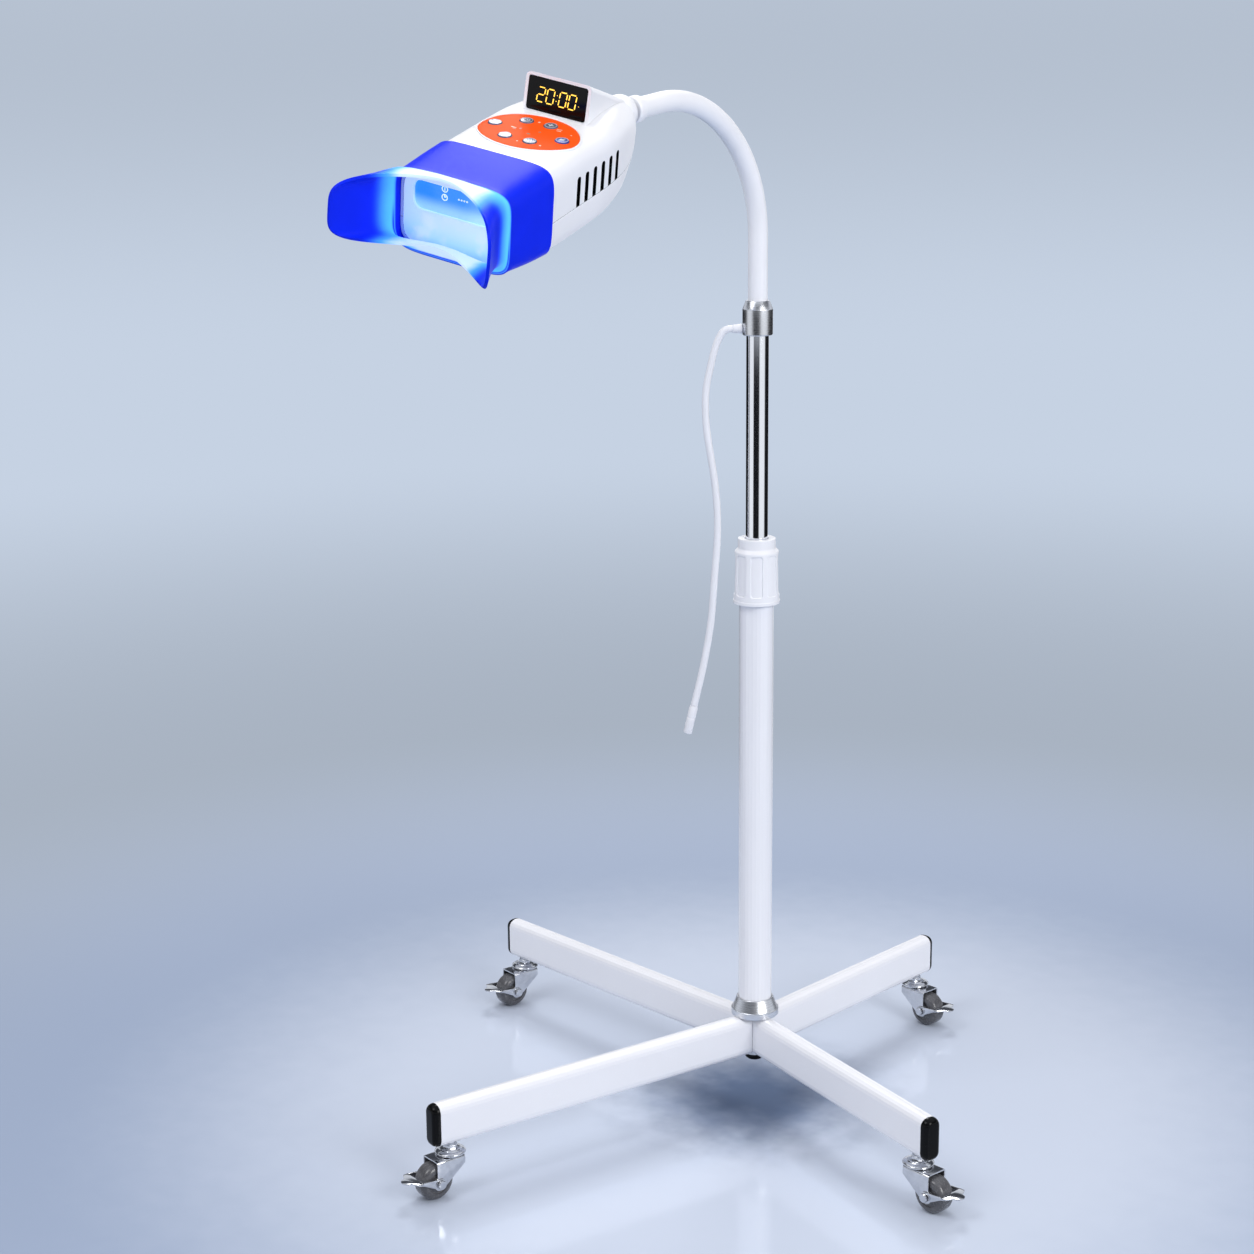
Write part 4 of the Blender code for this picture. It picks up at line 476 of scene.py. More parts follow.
class Wire:
    """The output of a node. Sums and products of wires and numbers add their Math nodes."""

    def __init__(self, finish, socket):
        self.finish = finish
        self.socket = socket

    def maths(self, operation, *terms):
        return self.finish.node("Math", {"operation": operation}, dict(enumerate(terms)))

    def other(self, name):
        """Another output of the same node."""
        return Wire(self.finish, self.socket.node.outputs[name])

    def __add__(self, term):
        return self.maths("ADD", self, term)

    def __radd__(self, term):
        return self.maths("ADD", term, self)

    def __sub__(self, term):
        return self.maths("SUBTRACT", self, term)

    def __rsub__(self, term):
        return self.maths("SUBTRACT", term, self)

    def __mul__(self, term):
        return self.maths("MULTIPLY", self, term)

    def __truediv__(self, term):
        return self.maths("DIVIDE", self, term)

    def __pow__(self, term):
        return self.maths("POWER", self, term)

    def __abs__(self):
        return self.maths("ABSOLUTE", self)

    def step(self, low, high):
        """0 below low, 1 above high, and smooth between."""
        return self.finish.node(
            "MapRange", {"interpolation_type": "SMOOTHSTEP"},
            {"Value": self, "From Min": low, "From Max": high})

    def least(self, term):
        return self.maths("MINIMUM", self, term)

    def most(self, term):
        return self.maths("MAXIMUM", self, term)


class Finish:
    """A material that is being put together from nodes."""

    def __init__(self, name, tree=None):
        if tree is None:
            self.material = bpy.data.materials.new(name)
            self.material.use_nodes = True
            tree = self.material.node_tree
        self.tree = tree
        self.tree.nodes.clear()

    def node(self, kind, settings=None, sockets=None, out=0):
        """Add a node, set it and its sockets, and return one of its outputs as a wire."""
        made = self.tree.nodes.new("ShaderNode" + kind)
        for name, value in (settings or {}).items():
            if name == "stops":
                self.set_stops(made.color_ramp, value)
            else:
                setattr(made, name, value)
        for name, value in (sockets or {}).items():
            if isinstance(value, Wire):
                self.tree.links.new(value.socket, made.inputs[name])
            else:
                made.inputs[name].default_value = value
        return Wire(self, made.outputs[out] if made.outputs else None)

    @staticmethod
    def set_stops(ramp, stops):
        while len(ramp.elements) < len(stops):
            ramp.elements.new(1)
        for element, (place, colour) in zip(ramp.elements, stops):
            element.position = place
            element.color = (*colour, 1)

    def where(self):
        """Object coordinates, in metres."""
        return self.node("TexCoord", out="Object")

    def seen_from(self, matrix):
        """Object coordinates in the frame that the matrix places, as three wires."""
        back = matrix.inverted()
        moved = self.node("Mapping", None, {
            "Vector": self.where(),
            "Location": back.to_translation(),
            "Rotation": back.to_euler(),
        })
        x = self.node("SeparateXYZ", None, {"Vector": moved})
        return x, x.other("Y"), x.other("Z")

    def stretched(self, scale):
        return self.node("Mapping", None, {"Vector": self.where(), "Scale": scale})

    def noise(self, scale, detail=2.0, vector=None):
        return self.node("TexNoise", None, {
            "Vector": vector or self.where(), "Scale": scale, "Detail": detail})

    def mixed(self, share, first, second):
        """A colour between two colours."""
        colours = [c if isinstance(c, Wire) else (*c, 1) for c in (first, second)]
        return self.node("Mix", {"data_type": "RGBA"}, {0: share, 6: colours[0], 7: colours[1]}, out=2)

    def ramp(self, value, stops):
        return self.node("ValToRGB", {"stops": stops}, {"Fac": value})

    def bump(self, height, strength, distance):
        return self.node("Bump", None, {"Height": height, "Strength": strength, "Distance": distance})

    def surface(self, colour, roughness, **sockets):
        """Principled shader to the output; words in socket names are joined by underscores."""
        values = {name.replace("_", " "): value for name, value in sockets.items()}
        values["Base Color"] = colour if isinstance(colour, Wire) else (*colour, 1)
        values["Roughness"] = roughness
        shader = self.node("BsdfPrincipled", None, values)
        self.node("OutputMaterial", None, {"Surface": shader})
        return self.material


# Finishes

def powder_coat(made, colour):
    """Smooth white paint on steel: faint orange peel under a clear gloss."""
    drift = made.noise(9.0, 3.0)
    peel = made.noise(650.0, 1.0)
    return made.surface(
        made.mixed(drift, dimmed(colour, 0.93), colour), 0.20 + peel * 0.10,
        Normal=made.bump(peel, 0.06, 0.0004), Coat_Weight=0.35, Coat_Roughness=0.08)


def moulded_plastic(made, colour):
    """White moulded plastic with a fine spark-eroded grain."""
    drift = made.noise(24.0, 3.0)
    fine = made.noise(1400.0, 2.0)
    return made.surface(
        made.mixed(drift, dimmed(colour, 0.95), colour), 0.30 + fine * 0.12,
        Normal=made.bump(fine, 0.05, 0.0003), Specular_IOR_Level=0.5)


def chrome_plate(made):
    """Bright plating with faint draw marks along the tube."""
    marks = made.noise(1.0, 3.0, made.stretched((900.0, 900.0, 6.0)))
    smudge = made.noise(14.0, 4.0)
    return made.surface(
        made.mixed(smudge, shade(226, 229, 234), shade(238, 240, 244)), 0.05 + marks * 0.07 + smudge * 0.03,
        Metallic=1.0, Normal=made.bump(marks, 0.02, 0.0001))


def brushed_steel(made):
    """Turned steel, brushed around its axis."""
    rings = made.noise(1.0, 4.0, made.stretched((40.0, 40.0, 5200.0)))
    return made.surface(
        made.mixed(rings, shade(196, 198, 203), shade(236, 238, 242)), 0.20 + rings * 0.16,
        Metallic=1.0, Normal=made.bump(rings, 0.12, 0.0001), Anisotropic=0.5)


def zinc_plate(made):
    """Bright zinc on pressed steel, a little cloudy."""
    cloud = made.noise(160.0, 5.0)
    fine = made.noise(2200.0, 2.0)
    return made.surface(
        made.mixed(cloud, shade(186, 187, 191), shade(226, 227, 230)), 0.06 + cloud * 0.10,
        Metallic=1.0, Normal=made.bump(fine, 0.05, 0.0002))


def black_moulding(made, gloss, grain):
    """Black polyethylene with a fine grain."""
    fine = made.noise(grain, 2.0)
    drift = made.noise(60.0, 3.0)
    return made.surface(
        made.mixed(drift, shade(6, 6, 7), shade(15, 15, 16)), gloss + fine * 0.15, Specular_IOR_Level=0.12,
        Normal=made.bump(fine, 0.12, 0.0003))


def wheel_tread(made):
    """Dark grey polyurethane, patchy and finely scuffed."""
    scuffs = made.noise(420.0, 5.0)
    patches = made.noise(70.0, 3.0)
    return made.surface(
        made.mixed(patches * 0.6 + scuffs * 0.4, shade(58, 58, 61), shade(104, 104, 108)),
        0.16 + scuffs * 0.20, Normal=made.bump(scuffs, 0.10, 0.0002), Coat_Weight=0.2, Coat_Roughness=0.15)


def display_glass(made):
    """Smoked window behind the digits, with a faint haze."""
    haze = made.noise(300.0, 4.0)
    return made.surface(
        made.mixed(haze, shade(3, 3, 4), shade(12, 11, 11)), 0.06 + haze * 0.06, Specular_IOR_Level=0.16)


def amber_segments(made, colour):
    """Lit segments with a faintly uneven glow."""
    grain = made.noise(900.0, 2.0)
    bright = tuple(min(value * 1.25 + 0.02, 1.0) for value in colour)
    tone = made.mixed(grain.step(0.35, 0.75), colour, bright)
    return made.surface(tone, 0.4, Emission_Color=tone, Emission_Strength=1.0)


def panel_film(made, colour):
    """Printed orange film with a fine matt grain."""
    dots = made.noise(3200.0, 2.0)
    drift = made.noise(70.0, 3.0)
    light = tuple(min(value * 1.1 + 0.015, 1.0) for value in colour)
    return made.surface(
        made.mixed(dots * 0.5 + drift * 0.5, colour, light), 0.46 + dots * 0.18, Specular_IOR_Level=0.06,
        Normal=made.bump(dots, 0.15, 0.0001))


def key_film(made, colour, glint):
    """Domed key: a metallic print with fine flecks."""
    flecks = made.node("TexVoronoi", None, {"Vector": made.where(), "Scale": 1500.0})
    drift = made.noise(420.0, 3.0)
    return made.surface(
        made.mixed(flecks.step(0.15, 0.6) * drift, colour, glint), 0.22 + drift * 0.15,
        Metallic=0.35, Normal=made.bump(flecks, 0.06, 0.0001), Coat_Weight=0.4)


def guard_silicone(made, deep, glow, hot):
    """Blue silicone, lit through from the lamp where it leaves the nose."""
    flare, side, rise = (made.node("Attribute", {"attribute_name": name}, out="Fac")
                         for name in ("flare", "side", "rise"))
    grain = made.noise(1500.0, 2.0)
    drift = made.noise(30.0, 3.0)
    wide = abs(side)
    begin = flare.step(-0.02, 0.20)
    wing = wide.step(0.40, 0.84)
    line = flare.step(0.10, 0.155) * (1.0 - flare.step(0.155, 0.23)) * (1.0 - rise.step(0.25, 0.6))
    lit = begin * (1.0 - wing * flare.step(0.20, 0.62)) * (0.82 + drift * 0.36)
    blaze = flare.step(0.02, 0.30) * (1.0 - wide.step(0.30, 0.80)) * (0.55 + drift)
    tone = made.mixed(lit.step(0.02, 1.0), deep, glow)
    tone = made.mixed(blaze.step(0.42, 0.92), tone, hot)
    tone = made.mixed(line, tone, deep)
    body = made.mixed(drift, dimmed(deep, 0.8), deep)
    body = made.mixed(lit * 0.55, body, tone)
    strong = made.mixed(lit.step(0.02, 0.6), dimmed(deep, 0.10), tone)
    return made.surface(
        body, 0.34 + grain * 0.14, Emission_Color=strong, Emission_Strength=0.52,
        Normal=made.bump(grain, 0.06, 0.0002), Specular_IOR_Level=0.05)


def print_ink(made, colour):
    """Screen-printed ink, slightly broken."""
    grain = made.noise(2600.0, 3.0)
    return made.surface(made.mixed(grain, dimmed(colour, 0.86), colour), 0.34 + grain * 0.2,
                        Normal=made.bump(grain, 0.08, 0.0001))


def pane_sign(made, colour):
    """White sign on the lit pane."""
    grain = made.noise(1800.0, 2.0)
    tone = made.mixed(grain, dimmed(colour, 0.92), colour)
    return made.surface(tone, 0.3 + grain * 0.1, Emission_Color=tone, Emission_Strength=0.6)


def lamp_frame(made, white, place):
    """White reflector frame, lit from the pane."""
    _, _, z = made.seen_from(place)
    grain = made.noise(900.0, 2.0)
    drift = made.noise(46.0, 2.0)
    tone = made.mixed(z.step(-0.050, -0.006), shade(92, 190, 252), shade(226, 246, 255))
    tone = made.mixed(drift.step(0.40, 0.75), tone, white)
    return made.surface(tone, 0.25 + grain * 0.1, Emission_Color=tone, Emission_Strength=0.30,
                        Normal=made.bump(grain, 0.05, 0.0002))


def lamp_pane(made, dark, light, place):
    """Lit window: blue glass, paler towards its lower edge and one side."""
    x, _, z = made.seen_from(place)
    grain = made.noise(700.0, 2.0)
    pale = (0.012 - z).step(0.0, 0.013) * 0.75 + x.step(0.002, 0.03) * 0.4
    tone = made.mixed(pale.least(1.0) + grain * 0.06, dark, light)
    return made.surface(tone, 0.10 + grain * 0.06, Emission_Color=tone, Emission_Strength=0.40,
                        Specular_IOR_Level=0.3)


def soft_sheath(made, colour, grain):
    """Soft white cable and neck cover with a satin skin."""
    fine = made.noise(grain, 3.0)
    drift = made.noise(30.0, 2.0)
    return made.surface(
        made.mixed(drift, dimmed(colour, 0.93), colour), 0.34 + fine * 0.16,
        Normal=made.bump(fine, 0.06, 0.0003), Sheen_Weight=0.05)


def green_board(made):
    """Lacquered circuit board with a faint weave."""
    weave = made.node("TexChecker", None, {"Vector": made.where(), "Scale": 1200.0}, out="Fac")
    drift = made.noise(200.0, 3.0)
    return made.surface(
        made.mixed(drift, shade(16, 92, 52), shade(32, 128, 74)), 0.3 + weave * 0.1,
        Normal=made.bump(weave, 0.05, 0.0001))


# Shapes

def spun(profile, steps=72):
    """An outline of (radius, height) points spun about Z."""
    work = bmesh.new()
    points = [work.verts.new((radius, 0, height)) for radius, height in profile]
    for start, end in zip(points, points[1:]):
        work.edges.new((start, end))
    bmesh.ops.spin(
        work, geom=work.verts[:] + work.edges[:], cent=(0, 0, 0), axis=(0, 0, 1), angle=2 * math.pi,
        steps=steps, use_merge=True)
    bmesh.ops.remove_doubles(work, verts=work.verts, dist=WELD)
    bmesh.ops.recalc_face_normals(work, faces=work.faces)
    return work


def filleted(profile, width, steps=3):
    """A profile with its corners rounded by a width, as far as their sides allow."""
    points = [Vector(point) for point in profile]
    rounded = [points[0]]
    for before, corner, after in zip(points, points[1:], points[2:]):
        near, far = before - corner, after - corner
        reach = min(width, near.length * FILLET_SHARE, far.length * FILLET_SHARE)
        first = corner + near.normalized() * reach
        last = corner + far.normalized() * reach
        for step in range(steps + 1):
            t = step / steps
            rounded.append(first * (1 - t) ** 2 + corner * 2 * t * (1 - t) + last * t * t)
    return [tuple(point) for point in (*rounded, points[-1])]


def turned(profile, width=0.0004, steps=96):
    """A turned solid with rounded corners."""
    return spun(filleted(profile, width), steps)


def soften(work, width, segments, above):
    """Bevel the edges that are sharper than an angle in degrees."""
    limit = math.radians(above)
    rounded_edges(work, [edge for edge in work.edges
                         if len(edge.link_faces) == 2 and edge.calc_face_angle() > limit], width, segments)


def arc(centre, radius, start, end, steps):
    """Points on an arc, angles in radians."""
    turn = (end - start) / steps
    angles = (start + turn * step for step in range(steps + 1))
    return [(centre[0] + radius * math.cos(a), centre[1] + radius * math.sin(a)) for a in angles]


def rounded_box(half_width, half_height, corner, steps=6, middle=(0, 0)):
    """Outline of a rectangle with round corners."""
    points = []
    for turn, (side, rise) in enumerate(((1, 1), (-1, 1), (-1, -1), (1, -1))):
        centre = (middle[0] + side * (half_width - corner), middle[1] + rise * (half_height - corner))
        start = turn * math.pi / 2
        points += arc(centre, corner, start, start + math.pi / 2, steps)
    return points


def plate(outline, thickness):
    """A flat outline from height 0 up to a thickness."""
    work = bmesh.new()
    face = work.faces.new([work.verts.new((x, y, 0)) for x, y in outline])
    raised = bmesh.ops.extrude_face_region(work, geom=[face])
    verts = [item for item in raised["geom"] if isinstance(item, bmesh.types.BMVert)]
    bmesh.ops.translate(work, verts=verts, vec=UP * thickness)
    bmesh.ops.recalc_face_normals(work, faces=work.faces)
    return work


def loop(work, points):
    """A closed loop of edges through points."""
    verts = [work.verts.new(point) for point in points]
    return verts, [work.edges.new((verts[index - 1], verts[index])) for index in range(len(verts))]


def skin(rings, capped=False):
    """A skin bridged over rings of points, its ends closed if capped."""
    work = bmesh.new()
    loops = [loop(work, ring) for ring in rings]
    for (_, near), (_, far) in zip(loops, loops[1:]):
        bmesh.ops.bridge_loops(work, edges=near + far)
    if capped:
        work.faces.new(loops[0][0])
        work.faces.new(loops[-1][0])
    bmesh.ops.recalc_face_normals(work, faces=work.faces)
    return work


def swept(points, radius, sides):
    """A round bar along points, by rings that keep their turn from one point to the next."""
    rings = []
    side = Vector((1, 0, 0))
    for index, point in enumerate(points):
        before = points[max(index - 1, 0)]
        after = points[min(index + 1, len(points) - 1)]
        way = (after - before).normalized()
        side = (side - way * side.dot(way)).normalized()
        rise = way.cross(side)
        rings.append([point + (side * math.cos(a) + rise * math.sin(a)) * radius
                      for a in (2 * math.pi * step / sides for step in range(sides))])
    return skin(rings, capped=True)


def squarish(half_width, top, bottom, sharpness, count, warp):
    """(x, z) points of a squarish oval around, with unlike top and bottom."""
    points = []
    power = 2 / sharpness
    middle, half = (top - bottom) / 2, (top + bottom) / 2
    for index in range(count):
        angle = 2 * math.pi * (index + 0.5) / count
        angle -= warp * math.sin(4 * angle) / 4
        side, rise = math.cos(angle), math.sin(angle)
        x = math.copysign(abs(side) ** power, side)
        z = math.copysign(abs(rise) ** power, rise)
        points.append((half_width * x, middle + half * z))
    return points


def smooth_through(stations, place):
    """Values at a place between stations, on a smooth curve through them."""
    last = len(stations) - 1
    index = max(i for i in range(last) if i == 0 or stations[i][0] <= place)
    near, far = stations[index], stations[index + 1]
    before, after = stations[max(index - 1, 0)], stations[min(index + 2, last)]
    span = far[0] - near[0]
    t = min(max((place - near[0]) / span, 0), 1)
    values = []
    for column in range(1, len(near)):
        start_slope = (far[column] - before[column]) / (far[0] - before[0]) * span
        end_slope = (after[column] - near[column]) / (after[0] - near[0]) * span
        values.append(
            (2 * t ** 3 - 3 * t ** 2 + 1) * near[column] + (t ** 3 - 2 * t ** 2 + t) * start_slope
            + (3 * t ** 2 - 2 * t ** 3) * far[column] + (t ** 3 - t ** 2) * end_slope)
    return values


def neck_way(turn):
    """Direction of the neck at a turn of its bend."""
    bend = min(max(turn, 0), NECK_BEND)
    return Vector((0, -math.sin(bend), math.cos(bend)))


def neck_point(turn):
    """Point on the neck's centre line, which runs on straight before and after its bend."""
    bend = min(max(turn, 0), NECK_BEND)
    point = Vector((0, math.cos(bend) - 1, math.sin(bend))) + neck_way(turn) * (turn - bend)
    return AXIS + point * NECK_BEND_RADIUS + UP * BEND_FOOT


def along(direction):
    """A turn that brings +Z to the given direction."""
    return Vector(direction).to_track_quat("Z", "Y").to_matrix().to_4x4()


BALL_CENTRE = neck_point(NECK_END_TURN) + neck_way(NECK_END_TURN) * BALL_STANDOFF
HEAD = Matrix.Translation(BALL_CENTRE) @ HEAD_TURNS
TO_NECK = along(-neck_way(NECK_END_TURN))
LEAN_IN_HEAD = Matrix.Translation((0, -DISPLAY_PLACE, DISPLAY_LIFT)) @ Matrix.Rotation(-DISPLAY_TILT, 4, "X")
LEAN = HEAD @ LEAN_IN_HEAD


def head_section(reach):
    """Half width, top, bottom and power of the head's section at a distance from the ball."""
    width, top, bottom, power = smooth_through(HEAD_SHARES, reach / HEAD_NOSE)
    return HALF_HEAD * min(width, 1), HEAD_TOP * min(top, 1), HEAD_BOTTOM * min(bottom, 1), power


def shell_height(x, y):
    """Height of the upper shell over a point of the head's own plan."""
    half, top, bottom, power = head_section(-y)
    middle, rise = (top - bottom) / 2, (top + bottom) / 2
    return middle + rise * max(1 - abs(x / half) ** power, 0) ** (1 / power)


def hand_over(name, work, body, finish, place=None, smooth=True, sharp=32.0):
    """Make a piece of a finished mesh, put it in its place, and let it ride on its body."""
    bmesh.ops.remove_doubles(work, verts=work.verts, dist=WELD)
    bmesh.ops.recalc_face_normals(work, faces=work.faces)
    if place is not None:
        bmesh.ops.transform(work, matrix=place, verts=work.verts)
        if place.determinant() < 0:
            bmesh.ops.reverse_faces(work, faces=work.faces)
    mesh = bpy.data.meshes.new(name)
    work.to_mesh(mesh)
    work.free()
    for item in (finish if isinstance(finish, tuple) else (finish,)):
        mesh.materials.append(item)
    if smooth:
        mesh.shade_smooth()
        mesh.set_sharp_from_angle(angle=math.radians(sharp))
    made = bpy.data.objects.new(name, mesh)
    bpy.context.scene.collection.objects.link(made)
    if body:
        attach(made, body)
    return made


def moved(work, matrix):
    """The same mesh, moved."""
    bmesh.ops.transform(work, matrix=matrix, verts=work.verts)
    return work


def joined(*works):
    """Several meshes as one."""
    result = bmesh.new()
    mesh = bpy.data.meshes.new("part")
    for work in works:
        work.to_mesh(mesh)
        work.free()
        result.from_mesh(mesh)
    bpy.data.meshes.remove(mesh)
    return result


def block(low, high):
    """A box between two corners."""
    work = bmesh.new()
    bmesh.ops.create_cube(work, size=1)
    low, high = Vector(low), Vector(high)
    bmesh.ops.scale(work, verts=work.verts, vec=high - low)
    bmesh.ops.translate(work, verts=work.verts, vec=(low + high) / 2)
    return work


def globe(radius, segments=64):
    """A ball around the origin."""
    work = bmesh.new()
    bmesh.ops.create_uvsphere(work, u_segments=segments, v_segments=segments // 2, radius=radius)
    return work


def less(work, tool, shade_lined=False):
    """A mesh with another taken out of it; if asked, the cut faces take the second finish, a dark one that
    stands for painted shade inside a hollow.
    """
    for face in tool.faces:
        face.material_index = int(shade_lined)
    objects = []
    for name, content in (("kept", work), ("tool", tool)):
        mesh = bpy.data.meshes.new(name)
        content.to_mesh(mesh)
        content.free()
        for _ in range(2):
            mesh.materials.append(None)
        made = bpy.data.objects.new(name, mesh)
        bpy.context.scene.collection.objects.link(made)
        objects.append(made)
    kept, cutter = objects
    boolean = kept.modifiers.new("cut", "BOOLEAN")
    boolean.operation = "DIFFERENCE"
    boolean.object = cutter
    boolean.solver = "EXACT"
    graph = bpy.context.evaluated_depsgraph_get()
    result = bmesh.new()
    result.from_object(kept, graph)
    for made in objects:
        bpy.data.objects.remove(made)
    return result


def placed_copies(work, places):
    """Copies of a mesh at several places, as one mesh."""
    mesh = bpy.data.meshes.new("copy")
    work.to_mesh(mesh)
    work.free()
    result = bmesh.new()
    for place in places:
        mesh.transform(place)
        result.from_mesh(mesh)
        mesh.transform(place.inverted())
    bpy.data.meshes.remove(mesh)
    return result


# Forms of the pieces

def refined(profile, longest):
    """A profile whose long sides are divided."""
    fine = [profile[0]]
    for start, end in zip(profile, profile[1:]):
        parts = max(math.ceil(math.dist(start, end) / longest), 1)
        for part in range(1, parts + 1):
            share = part / parts
            fine.append(tuple(a + (b - a) * share for a, b in zip(start, end)))
    return fine


def nut_mesh():
    """Nut with recessed panels around its body."""
    ring_foot = NUT_BODY_HEIGHT + NUT_CHAMFER
    top = ring_foot + NUT_RING_HEIGHT
    bore, mouth = POLE_RADIUS + GAP, TUBE_RADIUS + NUT_MOUTH_ROOM
    profile = [(bore, NUT_SEAT), (bore, 0), (NUT_FOOT_RADIUS, 0), (NUT_FOOT_RADIUS, NUT_FOOT_HEIGHT),
               (NUT_BODY_RADIUS, NUT_FOOT_HEIGHT), (NUT_SHOULDER_RADIUS, NUT_BODY_HEIGHT),
               (NUT_RING_RADIUS, ring_foot), (NUT_RING_RADIUS, top), (mouth, top), (mouth, top - NUT_SEAT),
               (bore, NUT_SEAT)]
    work = spun(refined(filleted(profile, NUT_ROUNDING, 4), NUT_FACET), 360)
    low, high = NUT_FOOT_HEIGHT + NUT_PANEL_MARGIN, NUT_BODY_HEIGHT - NUT_PANEL_MARGIN / 2
    middle, half = (low + high) / 2, (high - low) / 2
    span = 2 * math.pi / NUT_PANELS
    for vert in work.verts:
        radius = math.hypot(vert.co.x, vert.co.y)
        above = abs(vert.co.z - middle) - half
        if radius < NUT_SHOULDER_RADIUS - NUT_PANEL_ROOM or above > NUT_PANEL_ROOM:
            continue
        angle = (math.atan2(vert.co.y, vert.co.x) - NUT_PANEL_TURN + span / 2) % span - span / 2
        across = abs(angle) * radius - NUT_PANEL_WIDTH / 2 + NUT_PANEL_CORNER
        rise = above + NUT_PANEL_CORNER
        outside = math.hypot(max(across, 0), max(rise, 0)) + min(max(across, rise), 0) - NUT_PANEL_CORNER
        t = min(max(0.5 - outside / NUT_PANEL_SLOPE, 0), 1)
        vert.co.xy *= 1 - NUT_PANEL_DEPTH * t * t * (3 - 2 * t) / radius
    return work


def rounded_edges(work, chosen, width, segments):
    """Bevel the chosen edges."""
    bmesh.ops.bevel(
        work, geom=chosen, offset=width, offset_type="OFFSET", segments=segments, profile=0.5,
        affect="EDGES", material=-1, clamp_overlap=True)


def folds(work, height):
    """Edges along X at a height."""
    return [edge for edge in work.edges
            if all(abs(vert.co.z - height) < WELD for vert in edge.verts)
            and abs(edge.verts[0].co.y - edge.verts[1].co.y) < WELD]


def fork_mesh():
    """Bent channel over the wheel, with the axle riveted across it."""
    rear = (-FORK_REAR, CROWN_TOP - FORK_REAR_DEPTH)
    to_rear = (rear[0] - CASTER_TRAIL, rear[1] - WHEEL_RADIUS)
    slant = math.acos(FORK_EYE_RADIUS / math.hypot(*to_rear))
    start = math.atan2(to_rear[1], to_rear[0]) + slant
    end = 2 * math.pi + math.acos(FORK_FRONT / FORK_EYE_RADIUS)
    front = CASTER_TRAIL + FORK_FRONT
    outline = [(-FORK_REAR, CROWN_TOP), rear,
               *arc((CASTER_TRAIL, WHEEL_RADIUS), FORK_EYE_RADIUS, start, end, 28), (front, CROWN_TOP)]
    body = moved(plate(outline, 2 * FORK_OUTER), Matrix.Translation((0, FORK_OUTER, 0)) @ UPRIGHT)
    rounded_edges(body, folds(body, CROWN_TOP), FORK_BEND, 6)
    slot = block((-FORK_REAR - OVERRUN, -FORK_INNER, -OVERRUN), (front + OVERRUN, FORK_INNER, CROWN_UNDER))
    rounded_edges(slot, folds(slot, CROWN_UNDER), FORK_INNER_BEND, 3)
    body = less(body, slot)
    soften(body, FORK_EDGE, 2, above=40.0)
    head = BRAKE_OUTER + GAP
    end = head + AXLE_HEAD_HEIGHT
    axle = turned([(0, end), (AXLE_HEAD_RADIUS, end), (AXLE_HEAD_RADIUS, head), (AXLE_RADIUS, head),
                   (AXLE_RADIUS, -head), (AXLE_HEAD_RADIUS, -head), (AXLE_HEAD_RADIUS, -end), (0, -end)],
                  AXLE_ROUNDING, 40)
    return joined(body, moved(axle, Matrix.Translation((CASTER_TRAIL, 0, WHEEL_RADIUS)) @ UPRIGHT))


def wheel_mesh():
    """Wheel with a round tread and a recessed ring in each side."""
    half = WHEEL_WIDTH / 2
    sunk = half - WHEEL_GROOVE_DEPTH
    bore = AXLE_RADIUS + GAP
    side = [(bore, half), (WHEEL_BOSS_RADIUS, half), (WHEEL_BOSS_RADIUS + WHEEL_GROOVE_SLOPE, sunk),
            (WHEEL_GROOVE_RADIUS - WHEEL_GROOVE_SLOPE, sunk), (WHEEL_GROOVE_RADIUS, half)]
    side = filleted(side, WHEEL_GROOVE_ROUNDING)
    side += arc((WHEEL_RADIUS - WHEEL_EDGE, half - WHEEL_EDGE), WHEEL_EDGE, math.pi / 2, 0, 12)
    other = [(radius, -height) for radius, height in reversed(side)]
    return spun([*side, *other, side[0]], 96)


def brake_mesh():
    """One stamping: two ears on the axle and a tab across the front of the wheel."""
    near, far = BRAKE_TAB_INNER, BRAKE_TAB_INNER + BRAKE_EYE_RADIUS
    ear = arc((0, 0), BRAKE_EYE_RADIUS, BRAKE_EAR_START, BRAKE_EAR_END, 24)
    ear += [(near, BRAKE_TAB_LIFT - BRAKE_PLATE), (far, BRAKE_TAB_LIFT),
            (far, BRAKE_TAB_LIFT + BRAKE_PLATE), (near, BRAKE_TAB_LIFT + BRAKE_PLATE)]
    tip = BRAKE_TAB_OUTER - BRAKE_TIP_WIDTH / 2
    tab = [(near, -BRAKE_OUTER), (far, -BRAKE_OUTER),
           *arc((tip, 0), BRAKE_TIP_WIDTH / 2, -math.pi / 2, math.pi / 2, 24),
           (far, BRAKE_OUTER), (near, BRAKE_OUTER)]
    flat = moved(plate(tab, BRAKE_PLATE), Matrix.Translation(UP * BRAKE_TAB_LIFT))
    soften(flat, BRAKE_TAB_EDGE, 2, above=60.0)
    parts = [flat]
    bore = AXLE_RADIUS + GAP
    for place in (BRAKE_OUTER, -BRAKE_INNER):
        eye = spun([(0, -OVERRUN), (bore, -OVERRUN), (bore, OVERRUN), (0, OVERRUN)], 32)
        side = less(plate(ear, BRAKE_PLATE), eye)
        soften(side, BRAKE_EAR_EDGE, 2, above=60.0)
        parts.append(moved(side, Matrix.Translation((0, place, 0)) @ UPRIGHT))
    return joined(*parts)


